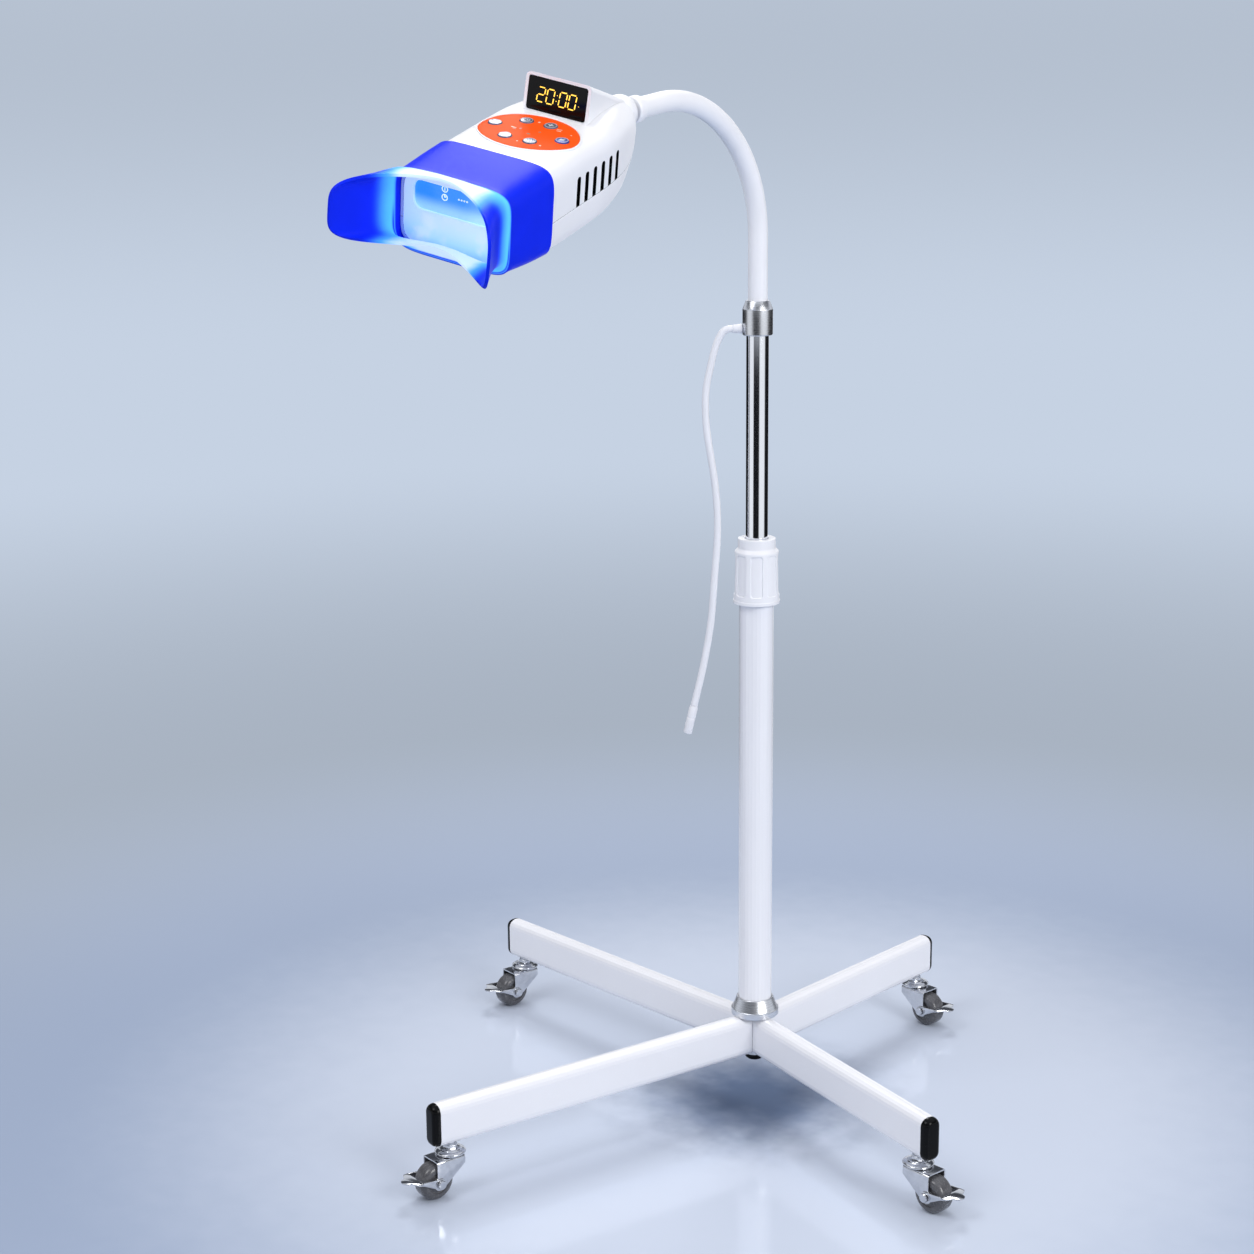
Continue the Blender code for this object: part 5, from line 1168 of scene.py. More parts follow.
def stem_mesh():
    """Rivet head, bearing race, six-sided nut and the start of the threaded stem."""
    race_top = RACE_FOOT + RACE_HEIGHT
    shoulder = STEM_NUT_RADIUS - STEM_SHOULDER
    nut_top = race_top + STEM_NUT_HEIGHT
    head_top = CROWN_UNDER - GAP
    tip = nut_top + STEM_SHOULDER + STEM_TIP
    profile = [(0, tip), (STEM_RADIUS, tip), (STEM_RADIUS, nut_top + STEM_SHOULDER),
               (shoulder, nut_top + STEM_SHOULDER), (shoulder, race_top)]
    profile += [(RACE_RADIUS * reach, RACE_FOOT + RACE_HEIGHT * rise) for reach, rise in RACE_SHARES]
    profile += [(STEM_NECK_RADIUS, RACE_FOOT), (STEM_NECK_RADIUS, head_top), (STEM_HEAD_RADIUS, head_top),
                (STEM_HEAD_RADIUS, head_top - STEM_HEAD_HEIGHT), (0, head_top - STEM_HEAD_HEIGHT)]
    low = race_top - STEM_NUT_SINK
    nut = spun([(0, nut_top), (STEM_NUT_RADIUS, nut_top), (STEM_NUT_RADIUS, low), (0, low)], 6)
    soften(nut, STEM_NUT_ROUNDING, 3, above=30.0)
    return joined(turned(profile, RACE_ROUNDING, 72), nut)


def cap_mesh():
    """Domed end cap of a leg, its dome along +X."""
    rings = []
    steps = 14
    for step in range(steps + 1):
        angle = step / steps * math.pi / 2
        inset = CAP_ROUNDING * (1 - math.cos(angle))
        outline = rounded_box(LEG_HEIGHT / 2 - inset, LEG_WIDTH / 2 - inset, LEG_CORNER - inset, 10)
        rings.append([(CAP_DOME * math.sin(angle), across, -rise) for rise, across in outline])
    return skin(rings, capped=True)


def head_skin(inset, front=0.0, back=0.0):
    """The head's closed skin, drawn in by inset; its ends can be moved outwards."""
    step_start = GUARD_EDGE - SHELL_STEP
    first = HEAD_SHARES[0][0]
    reaches = [HEAD_NOSE * (first + (1 - first) * step / HEAD_RINGS) for step in range(HEAD_RINGS + 1)]
    reaches = sorted([*reaches, step_start, step_start - SHELL_STEP])
    rings = []
    for index, reach in enumerate(reaches):
        half, top, bottom, power = head_section(reach)
        drawn = inset + (SHELL_STEP if reach >= step_start else 0)
        reach += front if index == len(reaches) - 1 else (-back if index == 0 else 0)
        outline = squarish(half - drawn, top - drawn, bottom - drawn, power, HEAD_POINTS, HEAD_WARP)
        rings.append([(x, -reach, z) for x, z in outline])
    return skin(rings, capped=True)


def half_shell(upper):
    """Upper or lower half of the head's shell; its inside and the walls of its vents and of the dome's hole
    take the dark second finish as painted shade.
    """
    work = less(head_skin(0), head_skin(SHELL_WALL, OVERRUN, OVERRUN), shade_lined=True)
    side = 1 if upper else -1
    bmesh.ops.bisect_plane(
        work, geom=work.verts[:] + work.edges[:] + work.faces[:], dist=WELD,
        plane_co=(0, 0, side * GAP / 2 - SEAM_DROP), plane_no=(0, 0, side), clear_inner=True)
    bmesh.ops.holes_fill(work, edges=[edge for edge in work.edges if edge.is_boundary], sides=0)
    work = less(work, globe(DOME_RADIUS + GAP), shade_lined=True)
    if upper:
        outline = rounded_box((VENT_HIGH - VENT_LOW) / 2, VENT_WIDTH / 2, VENT_CORNER, 8)
        slot = moved(plate(outline, VENT_CUT), Matrix.Rotation(-math.pi / 2, 4, "Y"))
        height = (VENT_LOW + VENT_HIGH) / 2
        spots = [Matrix.Translation((edge + VENT_CUT / 2, -VENT_FIRST - VENT_PITCH * step, height))
                 for edge in (-HALF_HEAD, HALF_HEAD) for step in range(VENT_COUNT)]
        work = less(work, placed_copies(slot, spots), shade_lined=True)
        hole = moved(plate(oval(GAP), PANEL_CUT),
                     Matrix.Translation((0, -PANEL_PLACE, HEAD_TOP - PANEL_CUT_DROP)))
        work = less(work, hole)
    soften(work, SHELL_EDGE, 2, above=50.0)
    return work


def oval(margin, count=96):
    """Outline of the control panel, grown by a margin."""
    angles = (2 * math.pi * step / count for step in range(count))
    return [((PANEL_HALF_WIDTH + margin) * math.cos(a), (PANEL_HALF_LENGTH + margin) * math.sin(a))
            for a in angles]


def crowned(outline, lift, share=1.0):
    """Points of an outline around the panel's middle, laid on the head's crown."""
    points = []
    for x, y in outline:
        x, y = x * share, y * share - PANEL_PLACE
        points.append((x, y, shell_height(x, y) + lift))
    return points


def film_mesh():
    """Crowned film of the control panel, with holes for its keys."""
    edge = oval(0)
    rings = [crowned(edge, PANEL_PROUD, share) for share in FILM_SHARES]
    rings += [crowned(edge, PANEL_PROUD - FILM_EDGE), crowned(edge, PANEL_PROUD - PANEL_PLATE / 2)]
    work = skin(rings, capped=True)
    bore = BUTTON_RADIUS + GAP
    hole = spun([(0, KEY_CUT_LOW), (bore, KEY_CUT_LOW), (bore, KEY_CUT_HIGH), (0, KEY_CUT_HIGH)], 48)
    spots = [Matrix.Translation(key_spot(side, length)) for _, side, length in KEY_SHARES]
    return less(work, placed_copies(hole, spots))


def key_spot(side, length):
    """Place on the panel from shares of its half width and half length."""
    return Vector((side * PANEL_HALF_WIDTH, length * PANEL_HALF_LENGTH - PANEL_PLACE, 0))


def rim_mesh():
    """Raised rim around the film."""
    return skin([crowned(oval(margin), lift) for margin, lift in RIM_SECTION])


def bar_outline(x, y, long, wide, turn=0.0):
    """Outline of a round-ended bar around a point."""
    outline = rounded_box(long / 2, wide / 2, min(long, wide) / 2 * BAR_ROUNDNESS, 4)
    cos, sin = math.cos(turn), math.sin(turn)
    return [(x + a * cos - b * sin, y + a * sin + b * cos) for a, b in outline]


def flat_ring(radius, width):
    """A flat ring of a sign's height."""
    inner, outer = radius - width / 2, radius + width / 2
    return spun([(inner, 0), (outer, 0), (outer, SIGN_HEIGHT), (inner, SIGN_HEIGHT), (inner, 0)], 48)


def flat_sign(bars, ring=None, height=SIGN_HEIGHT):
    """A flat sign of bars, and of a ring if it has one."""
    rings = [flat_ring(*ring)] if ring else []
    return joined(*rings, *(plate(bar_outline(*bar), height) for bar in bars))


def key_icon(name):
    """Plain sign on a key."""
    if name == "start":
        return plate(START_ARROW, SIGN_HEIGHT)
    return flat_sign(KEY_BARS[name], KEY_RINGS.get(name))


def hood_mesh():
    """Hood over the shell's rear half, with a pocket for the window."""
    slope = math.tan(DISPLAY_TILT)
    half = DISPLAY_WIDTH / 2 + HOOD_MARGIN
    high = DISPLAY_LIFT + (DISPLAY_HEIGHT + HOOD_MARGIN) * math.cos(DISPLAY_TILT)
    corners = {
        (-1, -1): (half, -DISPLAY_PLACE - HOOD_SINK * slope, DISPLAY_LIFT - HOOD_SINK),
        (-1, 1): (half, -DISPLAY_PLACE + (high - DISPLAY_LIFT) * slope, high),
        (1, -1): (HOOD_REAR_HALF_WIDTH, -HOOD_REAR_PLACE, 0),
        (1, 1): (HOOD_REAR_HALF_WIDTH, -HOOD_REAR_PLACE, HOOD_REAR_HEIGHT),
    }
    work = bmesh.new()
    bmesh.ops.create_cube(work, size=2)
    for vert in work.verts:
        width, y, z = corners[(round(vert.co.y), round(vert.co.z))]
        vert.co = (math.copysign(width, vert.co.x), y, z)
    top = [edge for edge in work.edges
           if max(vert.co.z for vert in edge.verts) > HOOD_REAR_HEIGHT / 2
           and max(vert.co.y for vert in edge.verts) > -DISPLAY_PLACE / 2]
    rounded_edges(work, top, HOOD_ROUNDING, 8)
    work = less(work, head_skin(-GAP, OVERRUN, 0))
    work = less(work, globe(DOME_RADIUS + GAP))
    pocket = DISPLAY_PLATE + GAP
    opening = rounded_box(DISPLAY_WIDTH / 2 + GAP, DISPLAY_HEIGHT / 2 + GAP, HOOD_WALL, 6,
                          (0, DISPLAY_HEIGHT / 2))
    into = LEAN_IN_HEAD @ Matrix.Translation((0, pocket, 0)) @ UPRIGHT
    work = less(work, moved(plate(opening, pocket + OVERRUN), into))
    soften(work, HOOD_EDGE, 3, above=40.0)
    return work


def stud_mesh():
    """Ball of the neck's end, its stud and the ferrule over the cover."""
    face = DOME_RADIUS + GAP
    bore = NECK_RADIUS + 2 * GAP
    start = math.acos(STUD_RADIUS / BALL_RADIUS)
    profile = [(bore, face + FERRULE_WALL), (bore, face + FERRULE_LENGTH),
               (FERRULE_RADIUS - GAP, face + FERRULE_LENGTH), (FERRULE_RADIUS, face + FERRULE_WALL),
               (FERRULE_RADIUS - FERRULE_CHAMFER, face), (STUD_RADIUS, face)]
    profile = [(0, face + FERRULE_WALL), *filleted(profile, FERRULE_ROUNDING)]
    profile += arc((0, 0), BALL_RADIUS, start, -math.pi / 2, 32)
    profile[-1] = (0, -BALL_RADIUS)
    return spun(profile, 72)


def dome_mesh():
    """Dome over the ball, open towards the neck."""
    high = 2 * DOME_RADIUS
    mouth = spun([(0, 0), (DOME_MOUTH_RADIUS, 0), (DOME_MOUTH_RADIUS, high), (0, high)], 72)
    work = less(globe(DOME_RADIUS, 72), globe(BALL_RADIUS + GAP, 72))
    return less(work, moved(mouth, HEAD_TURNS.inverted() @ TO_NECK))


def plug_mesh():
    """Connector at the lead's end, with a groove around it and a pin in its socket."""
    groove_top, groove_radius = PLUG_GROOVE_FOOT + PLUG_GROOVE_WIDTH, PLUG_RADIUS - PLUG_GROOVE_DEPTH
    return spun([
        (0, 0), (LEAD_RADIUS, 0), (PLUG_RADIUS, PLUG_TAPER), (PLUG_RADIUS, PLUG_GROOVE_FOOT),
        (groove_radius, PLUG_GROOVE_FOOT + PLUG_EDGE), (groove_radius, groove_top - PLUG_EDGE),
        (PLUG_RADIUS, groove_top), (PLUG_RADIUS, PLUG_LENGTH - 2 * PLUG_EDGE),
        (PLUG_RADIUS - PLUG_EDGE, PLUG_LENGTH), (PLUG_SOCKET_RADIUS, PLUG_LENGTH),
        (PLUG_SOCKET_RADIUS, PLUG_SOCKET_FOOT), (PLUG_PIN_RADIUS, PLUG_SOCKET_FOOT),
        (PLUG_PIN_RADIUS, PLUG_PIN_TOP), (0, PLUG_PIN_TOP + PLUG_EDGE)], 48)


def grommet_mesh():
    """Tapered sleeve of the lead, its foot through the collar's wall."""
    flange = COLLAR_RADIUS + GAP
    tip = flange + GROMMET_FLANGE + GROMMET_LENGTH
    inner = TUBE_RADIUS + GROMMET_STEM_ROOM
    return turned([(0, tip), (GROMMET_TIP_RADIUS, tip), (GROMMET_FOOT_RADIUS, flange + GROMMET_FLANGE),
                   (GROMMET_FLANGE_RADIUS, flange), (GROMMET_STEM_RADIUS, flange),
                   (GROMMET_STEM_RADIUS, inner), (0, inner)], TURNED_EDGE, 48)


# Settings

class LampColours(bpy.types.PropertyGroup):
    """Colours of the lamp's finishes."""

    paint: FloatVectorProperty(
        name="Paint", description="Powder coat of the legs and pole", subtype="COLOR", min=0, max=1,
        default=shade(243, 244, 249))
    plastic: FloatVectorProperty(
        name="Plastic", description="Moulded shells, nut and neck", subtype="COLOR", min=0, max=1,
        default=shade(244, 245, 249))
    orange: FloatVectorProperty(
        name="Panel", description="Orange film of the control panel", subtype="COLOR", min=0, max=1,
        default=shade(251, 82, 3))
    guard: FloatVectorProperty(
        name="Guard", description="Silicone of the mouth guard", subtype="COLOR", min=0, max=1,
        default=shade(16, 44, 238))
    guard_glow: FloatVectorProperty(
        name="Guard glow", description="Silicone where the lamp shines through", subtype="COLOR",
        min=0, max=1, default=shade(96, 208, 255))
    digits: FloatVectorProperty(
        name="Digits", description="Lit segments of the display", subtype="COLOR", min=0, max=1,
        default=shade(250, 196, 72))
    lit_pane: FloatVectorProperty(
        name="Lit pane", description="Window of the lamp when it is on", subtype="COLOR", min=0, max=1,
        default=shade(52, 150, 246))
    ground: FloatVectorProperty(
        name="Ground", description="Floor and background", subtype="COLOR", min=0, max=1,
        default=shade(198, 210, 227))


class LampSizes(bpy.types.PropertyGroup):
    """Sizes and words that a user may change."""

    stroke: FloatProperty(
        name="Segment width", description="Width of one lit segment of the display", unit="LENGTH",
        default=0.0010, min=0.0005, max=0.003)
    reading: StringProperty(
        name="Reading", description="Digits that the display shows", default="20:00")
    key_light: FloatProperty(
        name="Key light", description="Power of the large lamp over the camera's left", unit="POWER",
        default=36.0, min=0)
    fill_light: FloatProperty(
        name="Fill light", description="Power of the lamp at the camera's right", unit="POWER",
        default=50.0, min=0)


def colours():
    """Colours set in the panel."""
    return bpy.context.scene.lamp_colours


def sizes():
    """Sizes set in the panel."""
    return bpy.context.scene.lamp_sizes


def makers():
    """Every finish by name: the function that makes it and the values it takes."""
    c = colours()
    return {
        "powder_coat": (powder_coat, tuple(c.paint)),
        "shell_plastic": (moulded_plastic, tuple(c.plastic)),
        "neck_cover": (soft_sheath, tuple(c.plastic), 700.0),
        "lead_sheath": (soft_sheath, shade(238, 239, 244), 900.0),
        "chrome_plate": (chrome_plate,),
        "brushed_steel": (brushed_steel,),
        "zinc_plate": (zinc_plate,),
        "black_moulding": (black_moulding, 0.32, 1800.0),
        "cap_moulding": (black_moulding, 0.06, 500.0),
        "wheel_tread": (wheel_tread,),
        "panel_film": (panel_film, tuple(c.orange)),
        "print_pale": (print_ink, shade(250, 214, 190)),
        "print_dull": (print_ink, shade(176, 122, 96)),
        "key_film": (key_film, shade(50, 66, 94), shade(120, 138, 164)),
        "key_film_blue": (key_film, shade(20, 44, 140), shade(70, 104, 190)),
        "key_rim": (print_ink, shade(206, 214, 226)),
        "key_sign": (print_ink, shade(226, 232, 240)),
        "display_glass": (display_glass,),
        "amber_segments": (amber_segments, tuple(c.digits)),
        "lamp_frame": (lamp_frame, shade(250, 253, 255), HEAD),
        "lamp_pane": (lamp_pane, tuple(c.lit_pane), shade(190, 236, 255), HEAD),
        "pane_sign": (pane_sign, shade(236, 250, 255)),
        "guard_silicone": (guard_silicone, tuple(c.guard), tuple(c.guard_glow), shade(226, 250, 255)),
        "green_board": (green_board,),
    }


def finish_of(name):
    """A finish by name, made the first time it is asked for."""
    maker, *values = makers()[name]
    return bpy.data.materials.get(name) or maker(Finish(name), *values)


# Operators

class LAMP_OT_stage(bpy.types.Operator):
    """Camera, floor, lights and background"""
    bl_idname = "lamp.stage"
    bl_label = "Stage"

    def execute(self, context):
        scene = context.scene
        camera = bpy.data.cameras.new("camera")
        camera.sensor_width = SENSOR_WIDTH
        camera.lens = SENSOR_WIDTH * FOCAL_PIXELS / FRAME_PIXELS
        camera.clip_start = CLIP_START
        made = bpy.data.objects.new("camera", camera)
        turn = Matrix([Vector(axis).normalized() for axis in CAMERA_AXES]).transposed().to_4x4()
        made.matrix_world = Matrix.Translation(AXIS + Vector(CAMERA_PLACE)) @ turn
        scene.collection.objects.link(made)
        scene.camera = made
        scene.view_settings.view_transform = "Standard"

        ground = tuple(colours().ground)
        self.floor(ground)
        self.world(scene, ground)
        powers = {"key": sizes().key_light, "fill": sizes().fill_light, "back": sizes().fill_light}
        for name, power in powers.items():
            self.lamp(name, *LAMPS[name], power)
        return {"FINISHED"}

    @staticmethod
    def lamp(name, place, size, power):
        """A round lamp that looks at the object."""
        light = bpy.data.lights.new(name, "AREA")
        light.shape = "DISK"
        light.size = size
        light.energy = power
        made = bpy.data.objects.new(name, light)
        start = AXIS + Vector(place)
        made.matrix_world = Matrix.Translation(start) @ along(start - (AXIS + UP * LAMP_AIM))
        bpy.context.scene.collection.objects.link(made)

    @staticmethod
    def bands(made, x, y):
        """Dark and pale doors around the room, as the polished tube shows them."""
        bearing = y.maths("ARCTAN2", y, x) / (2 * math.pi) + 0.5
        black, white = shade(24, 25, 28), shade(246, 249, 254)
        return made.ramp(bearing, (
            (0.000, black), (0.094, black), (0.126, white), (0.234, white), (0.250, black),
            (0.396, black), (0.422, white), (0.560, white), (0.594, black), (0.795, black),
            (0.810, white), (0.860, white), (0.875, black), (1.000, black)))

    def floor(self, ground):
        """Glossy pale floor under the lamp, with a painted shadow under its base; far off, it shows the
        background to the camera.
        """
        work = bmesh.new()
        bmesh.ops.create_circle(work, cap_ends=True, radius=FLOOR_RADIUS, segments=96)
        made = Finish("studio_floor")
        spot = made.node("SeparateXYZ", None, {"Vector": made.where()})
        x, y = spot - AXIS.x, spot.other("Y") - AXIS.y
        away = (x * x + y * y) ** 0.5
        grain = made.noise(30.0, 2.0)
        spread = away + grain * 0.06
        # Painted shadow: the floor's colour turns dark blue under the base, near the pole's axis, and it is
        # darker again further out
        paint = made.mixed(spread.step(0.05, 0.22), shade(96, 112, 140), shade(203, 212, 228))
        paint = made.mixed(spread.step(0.36, 0.80), paint, shade(158, 172, 196))
        lit = made.node("BsdfPrincipled", None, {
            "Base Color": paint, "Roughness": 0.09 + grain * 0.03, "Specular IOR Level": 0.45})
        path = made.node("LightPath", out="Is Camera Ray")
        glossy = path.other("Is Glossy Ray")
        tone = made.mixed(away.step(1.4, 4.2), dimmed(ground, 0.70), ground)
        tone = made.mixed(glossy, tone, self.bands(made, x, y))
        far = made.node("Emission", None, {"Color": tone, "Strength": 1.0})
        seen = path.most(glossy).most(path.other("Is Transmission Ray"))
        share = away.step(LIT_FLOOR_END, FAR_FLOOR_START) * seen
        mixed = made.node("MixShader", None, {0: share, 1: lit, 2: far})
        made.node("OutputMaterial", None, {"Surface": mixed})
        mesh = bpy.data.meshes.new("floor")
        work.to_mesh(mesh)
        work.free()
        mesh.materials.append(made.material)
        floor = bpy.data.objects.new("floor", mesh)
        bpy.context.scene.collection.objects.link(floor)

    def world(self, scene, ground):
        """Soft even light, a striped room for polished metal, and the background for the camera."""
        sky = bpy.data.worlds.new("studio")
        sky.use_nodes = True
        scene.world = sky
        made = Finish("", sky.node_tree)
        path = made.node("LightPath", out="Is Camera Ray")
        seen = path.most(path.other("Is Transmission Ray"))
        way = made.node("TexCoord", out="Generated")
        x = made.node("SeparateXYZ", None, {"Vector": way})
        rise = x.other("Z")
        ceiling = made.mixed(rise.step(0.28, 0.40) * (1.0 - rise.step(0.60, 0.74)), shade(226, 231, 240),
                             shade(74, 78, 86))
        room = made.mixed(rise.step(0.02, 0.14), self.bands(made, x, x.other("Y")), ceiling)
        soft = made.node("Background", None, {"Color": (*shade(243, 243, 248), 1), "Strength": 0.67})
        glossy = made.node("Background", None, {"Color": room, "Strength": 1.0})
        arch = made.mixed(abs(rise).step(0.0, 0.12), dimmed(ground, 0.82), ground)
        plain = made.node("Background", None, {"Color": arch, "Strength": 1.0})
        first = made.node("MixShader", None, {0: path.other("Is Glossy Ray"), 1: soft, 2: glossy})
        both = made.node("MixShader", None, {0: seen, 1: first, 2: plain})
        made.node("OutputWorld", None, {"Surface": both})


class LAMP_OT_lead(bpy.types.Operator):
    """Power lead that hangs from the collar, with its connector"""
    bl_idname = "lamp.lead"
    bl_label = "Power lead"

    def execute(self, context):
        outward = Vector((math.cos(LEAD_TURN), math.sin(LEAD_TURN), 0))
        start = AXIS + outward * LEAD_EXIT + UP * (COLLAR_FOOT + LEAD_DROP)
        first = AXIS + outward * LEAD_ROUTE[0][0] + UP * LEAD_ROUTE[0][1]
        shift = start + outward * LEAD_RADIUS - first
        stations = [(index, *(AXIS + outward * reach + UP * height + shift))
                    for index, (reach, height) in enumerate(LEAD_ROUTE)]
        steps = (len(stations) - 1) * LEAD_STEPS
        route = [start, *(Vector(smooth_through(stations, step / LEAD_STEPS)) for step in range(steps + 1))]
        finish = finish_of("lead_sheath")

        curve = bpy.data.curves.new("lead", "CURVE")
        curve.dimensions = "3D"
        curve.bevel_depth = LEAD_RADIUS
        curve.bevel_resolution = 5
        curve.use_fill_caps = True
        spline = curve.splines.new("POLY")
        spline.points.add(len(route) - 1)
        for point, spot in zip(spline.points, route):
            point.co = (*spot, 1)
        curve.materials.append(finish)
        lead = bpy.data.objects.new("lead", curve)
        context.scene.collection.objects.link(lead)
        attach(lead, "mast")
        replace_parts(lead, "power_lead")

        ending = (route[-1] - route[-2]).normalized()
        place = Matrix.Translation(route[-1] + ending * GAP) @ along(ending)
        plug = hand_over("lead_plug", plug_mesh(), "mast", finish, place)
        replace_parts(plug, "lead_connector")
        place = Matrix.Translation(AXIS + UP * (COLLAR_FOOT + LEAD_DROP)) @ along(outward)
        grommet = hand_over("grommet", grommet_mesh(), "mast", finish, place)
        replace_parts(grommet, "cord_grommet")
        length = sum((b - a).length for a, b in zip(route, route[1:]))
        return {"FINISHED"}


class LAMP_OT_neck(bpy.types.Operator):
    """Smooth cover of the flexible neck, in two lengths"""
    bl_idname = "lamp.neck"
    bl_label = "Neck"

    def execute(self, context):
        finish = finish_of("neck_cover")
        foot = (NECK_FOOT - BEND_FOOT) / NECK_BEND_RADIUS
        sleeves = (
            ("neck_cover_lower", foot, MIDDLE_CUT, LOW_BEND, ("mast", "neck_middle"),
             ("gooseneck_lower", "gooseneck_middle")),
            ("neck_cover_upper", MIDDLE_CUT, NECK_END_TURN, HIGH_BEND, ("neck_middle", "neck_end"),
             ("gooseneck_upper",)),
        )
        for name, low, high, bend, (first, second), nodes in sleeves:
            points = [neck_point(low + (high - low) * step / NECK_STEPS) for step in range(NECK_STEPS + 1)]
            piece = hand_over(name, swept(points, NECK_RADIUS, NECK_SIDES), None, finish)
            neck_point(bend - BEND_SPREAD)
            neck_point(bend + BEND_SPREAD)
            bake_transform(piece)
            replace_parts(piece, *nodes)
        return {"FINISHED"}


class LAMP_OT_turnings(bpy.types.Operator):
    """Turned pieces on the pole's axis: plug, flange, nut, chrome tube and collar"""
    bl_idname = "lamp.turnings"
    bl_label = "Turned pieces"

    def execute(self, context):
        band, rim = FLANGE_BAND_HEIGHT, FLANGE_BAND_HEIGHT + FLANGE_CONE_HEIGHT
        bore = POLE_RADIUS + GAP
        flange = turned(
            [(bore, 0), (FLANGE_BAND_RADIUS, 0), (FLANGE_BAND_RADIUS, band), (FLANGE_CONE_RADIUS, band),
             (FLANGE_RIM_RADIUS, rim), (bore, rim), (bore, 0)], TURNED_EDGE, 128)
        long = TUBE_TOP - TUBE_FOOT
        inside = TUBE_RADIUS - TUBE_WALL
        tube = turned(
            [(inside, 0), (TUBE_RADIUS, 0), (TUBE_RADIUS, long), (inside, long), (inside, 0)], TUBE_EDGE, 128)
        neck_hole, tube_hole = NECK_RADIUS + GAP, TUBE_RADIUS + GAP
        high = COLLAR_LENGTH
        collar = turned(
            [(tube_hole, COLLAR_SEAT), (tube_hole, 0), (COLLAR_RADIUS - COLLAR_LIP, 0),
             (COLLAR_RADIUS, COLLAR_LIP), (COLLAR_RADIUS, high - COLLAR_TAPER),
             (COLLAR_RADIUS - COLLAR_CHAMFER, high), (neck_hole, high), (neck_hole, high - COLLAR_SEAT),
             (tube_hole, COLLAR_SEAT)], TURNED_EDGE, 128)
        foot = HUB_PLUG_HEIGHT
        plug = turned(
            [(0, 0), (HUB_PLUG_RADIUS, 0), (HUB_PLUG_RADIUS, HUB_PLUG_CHAMFER - foot),
             (HUB_PLUG_RADIUS - HUB_PLUG_CHAMFER, -foot), (0, -foot)], HUB_PLUG_ROUNDING, 64)
        pieces = (
            ("flange", flange, "base", "brushed_steel", "chrome", POLE_FOOT, "base_flange"),
            ("hub_stopper", plug, "base", "black_moulding", "black_plastic", LEG_FOOT - GAP, "hub_plug"),
            ("nut", nut_mesh(), "nut", "shell_plastic", "white_plastic", NUT_FOOT, "clamp_nut"),
            ("chrome_tube", tube, "mast", "chrome_plate", "chrome", TUBE_FOOT, "inner_tube"),
            ("collar", collar, "mast", "brushed_steel", "chrome", COLLAR_FOOT, "top_collar"),
        )
        for name, work, body, finish, slot, height, node in pieces:
            place = ON_AXIS @ Matrix.Translation(UP * height)
            piece = hand_over(name, work, body, finish_of(finish), place)
            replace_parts(piece, node)
        return {"FINISHED"}


class LAMP_OT_casters(bpy.types.Operator):
    """Swivel casters with their brakes, and the domed caps of the legs"""
    bl_idname = "lamp.casters"
    bl_label = "Casters"

    def execute(self, context):
        zinc, tread, black = (finish_of(name) for name in ("zinc_plate", "wheel_tread", "cap_moulding"))
        for side, turn, length, way in LEGS:
            out = Vector((math.cos(turn), math.sin(turn), 0))
            spot = Matrix.Translation(AXIS + out * (length - STEM_INSET))
            fork = spot @ Matrix.Rotation(way, 4, "Z")
            axle = fork @ Matrix.Translation((CASTER_TRAIL, 0, WHEEL_RADIUS))
            end = Matrix.Translation(AXIS + UP * (LEG_FOOT + LEG_HEIGHT / 2) + out * (length + GAP))
            end = end @ Matrix.Rotation(turn, 4, "Z")
            pieces = (
                ("stem", stem_mesh(), "base", zinc, "zinc_steel", spot, "caster_stem"),
                ("fork", fork_mesh(), "caster_" + side, zinc, "zinc_steel", fork, "caster_fork"),
                ("wheel", wheel_mesh(), "wheel_" + side, tread, "dark_wheel", axle @ UPRIGHT, "caster_wheel"),
                ("brake", brake_mesh(), "brake_" + side, zinc, "zinc_steel", axle, "caster_brake"),
                ("cap", cap_mesh(), "base", black, "black_plastic", end, "leg_cap"),
            )
            for name, work, body, finish, slot, place, node in pieces:
                piece = hand_over(name + "_" + side, work, body, finish, place)
                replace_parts(piece, node + "_" + side)
        return {"FINISHED"}


class LAMP_OT_head(bpy.types.Operator):
    """Shells of the head with their vents, the hood and the ball joint"""
    bl_idname = "lamp.head"
    bl_label = "Head"

    def execute(self, context):
        white = finish_of("shell_plastic")
        # Black moulding on the shells' insides and cut walls is painted shade inside the head
        shade_lined = (white, finish_of("black_moulding"))
        for name in ("upper", "lower"):
            work = half_shell(name == "upper")
            shell = hand_over("shell_" + name, work, "head", shade_lined, HEAD)
            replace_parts(shell, "head_" + name + "_shell")
        hood = hand_over("hood", hood_mesh(), "head", white, HEAD)
        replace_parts(hood, "display_hood")
        dome = hand_over("dome", dome_mesh(), "head", white, HEAD)
        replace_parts(dome, "neck_dome")
        stud = hand_over("ball_stud", stud_mesh(), "ball_stud", white,
                         Matrix.Translation(BALL_CENTRE) @ TO_NECK)
        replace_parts(stud, "neck_ball_stud")
        return {"FINISHED"}


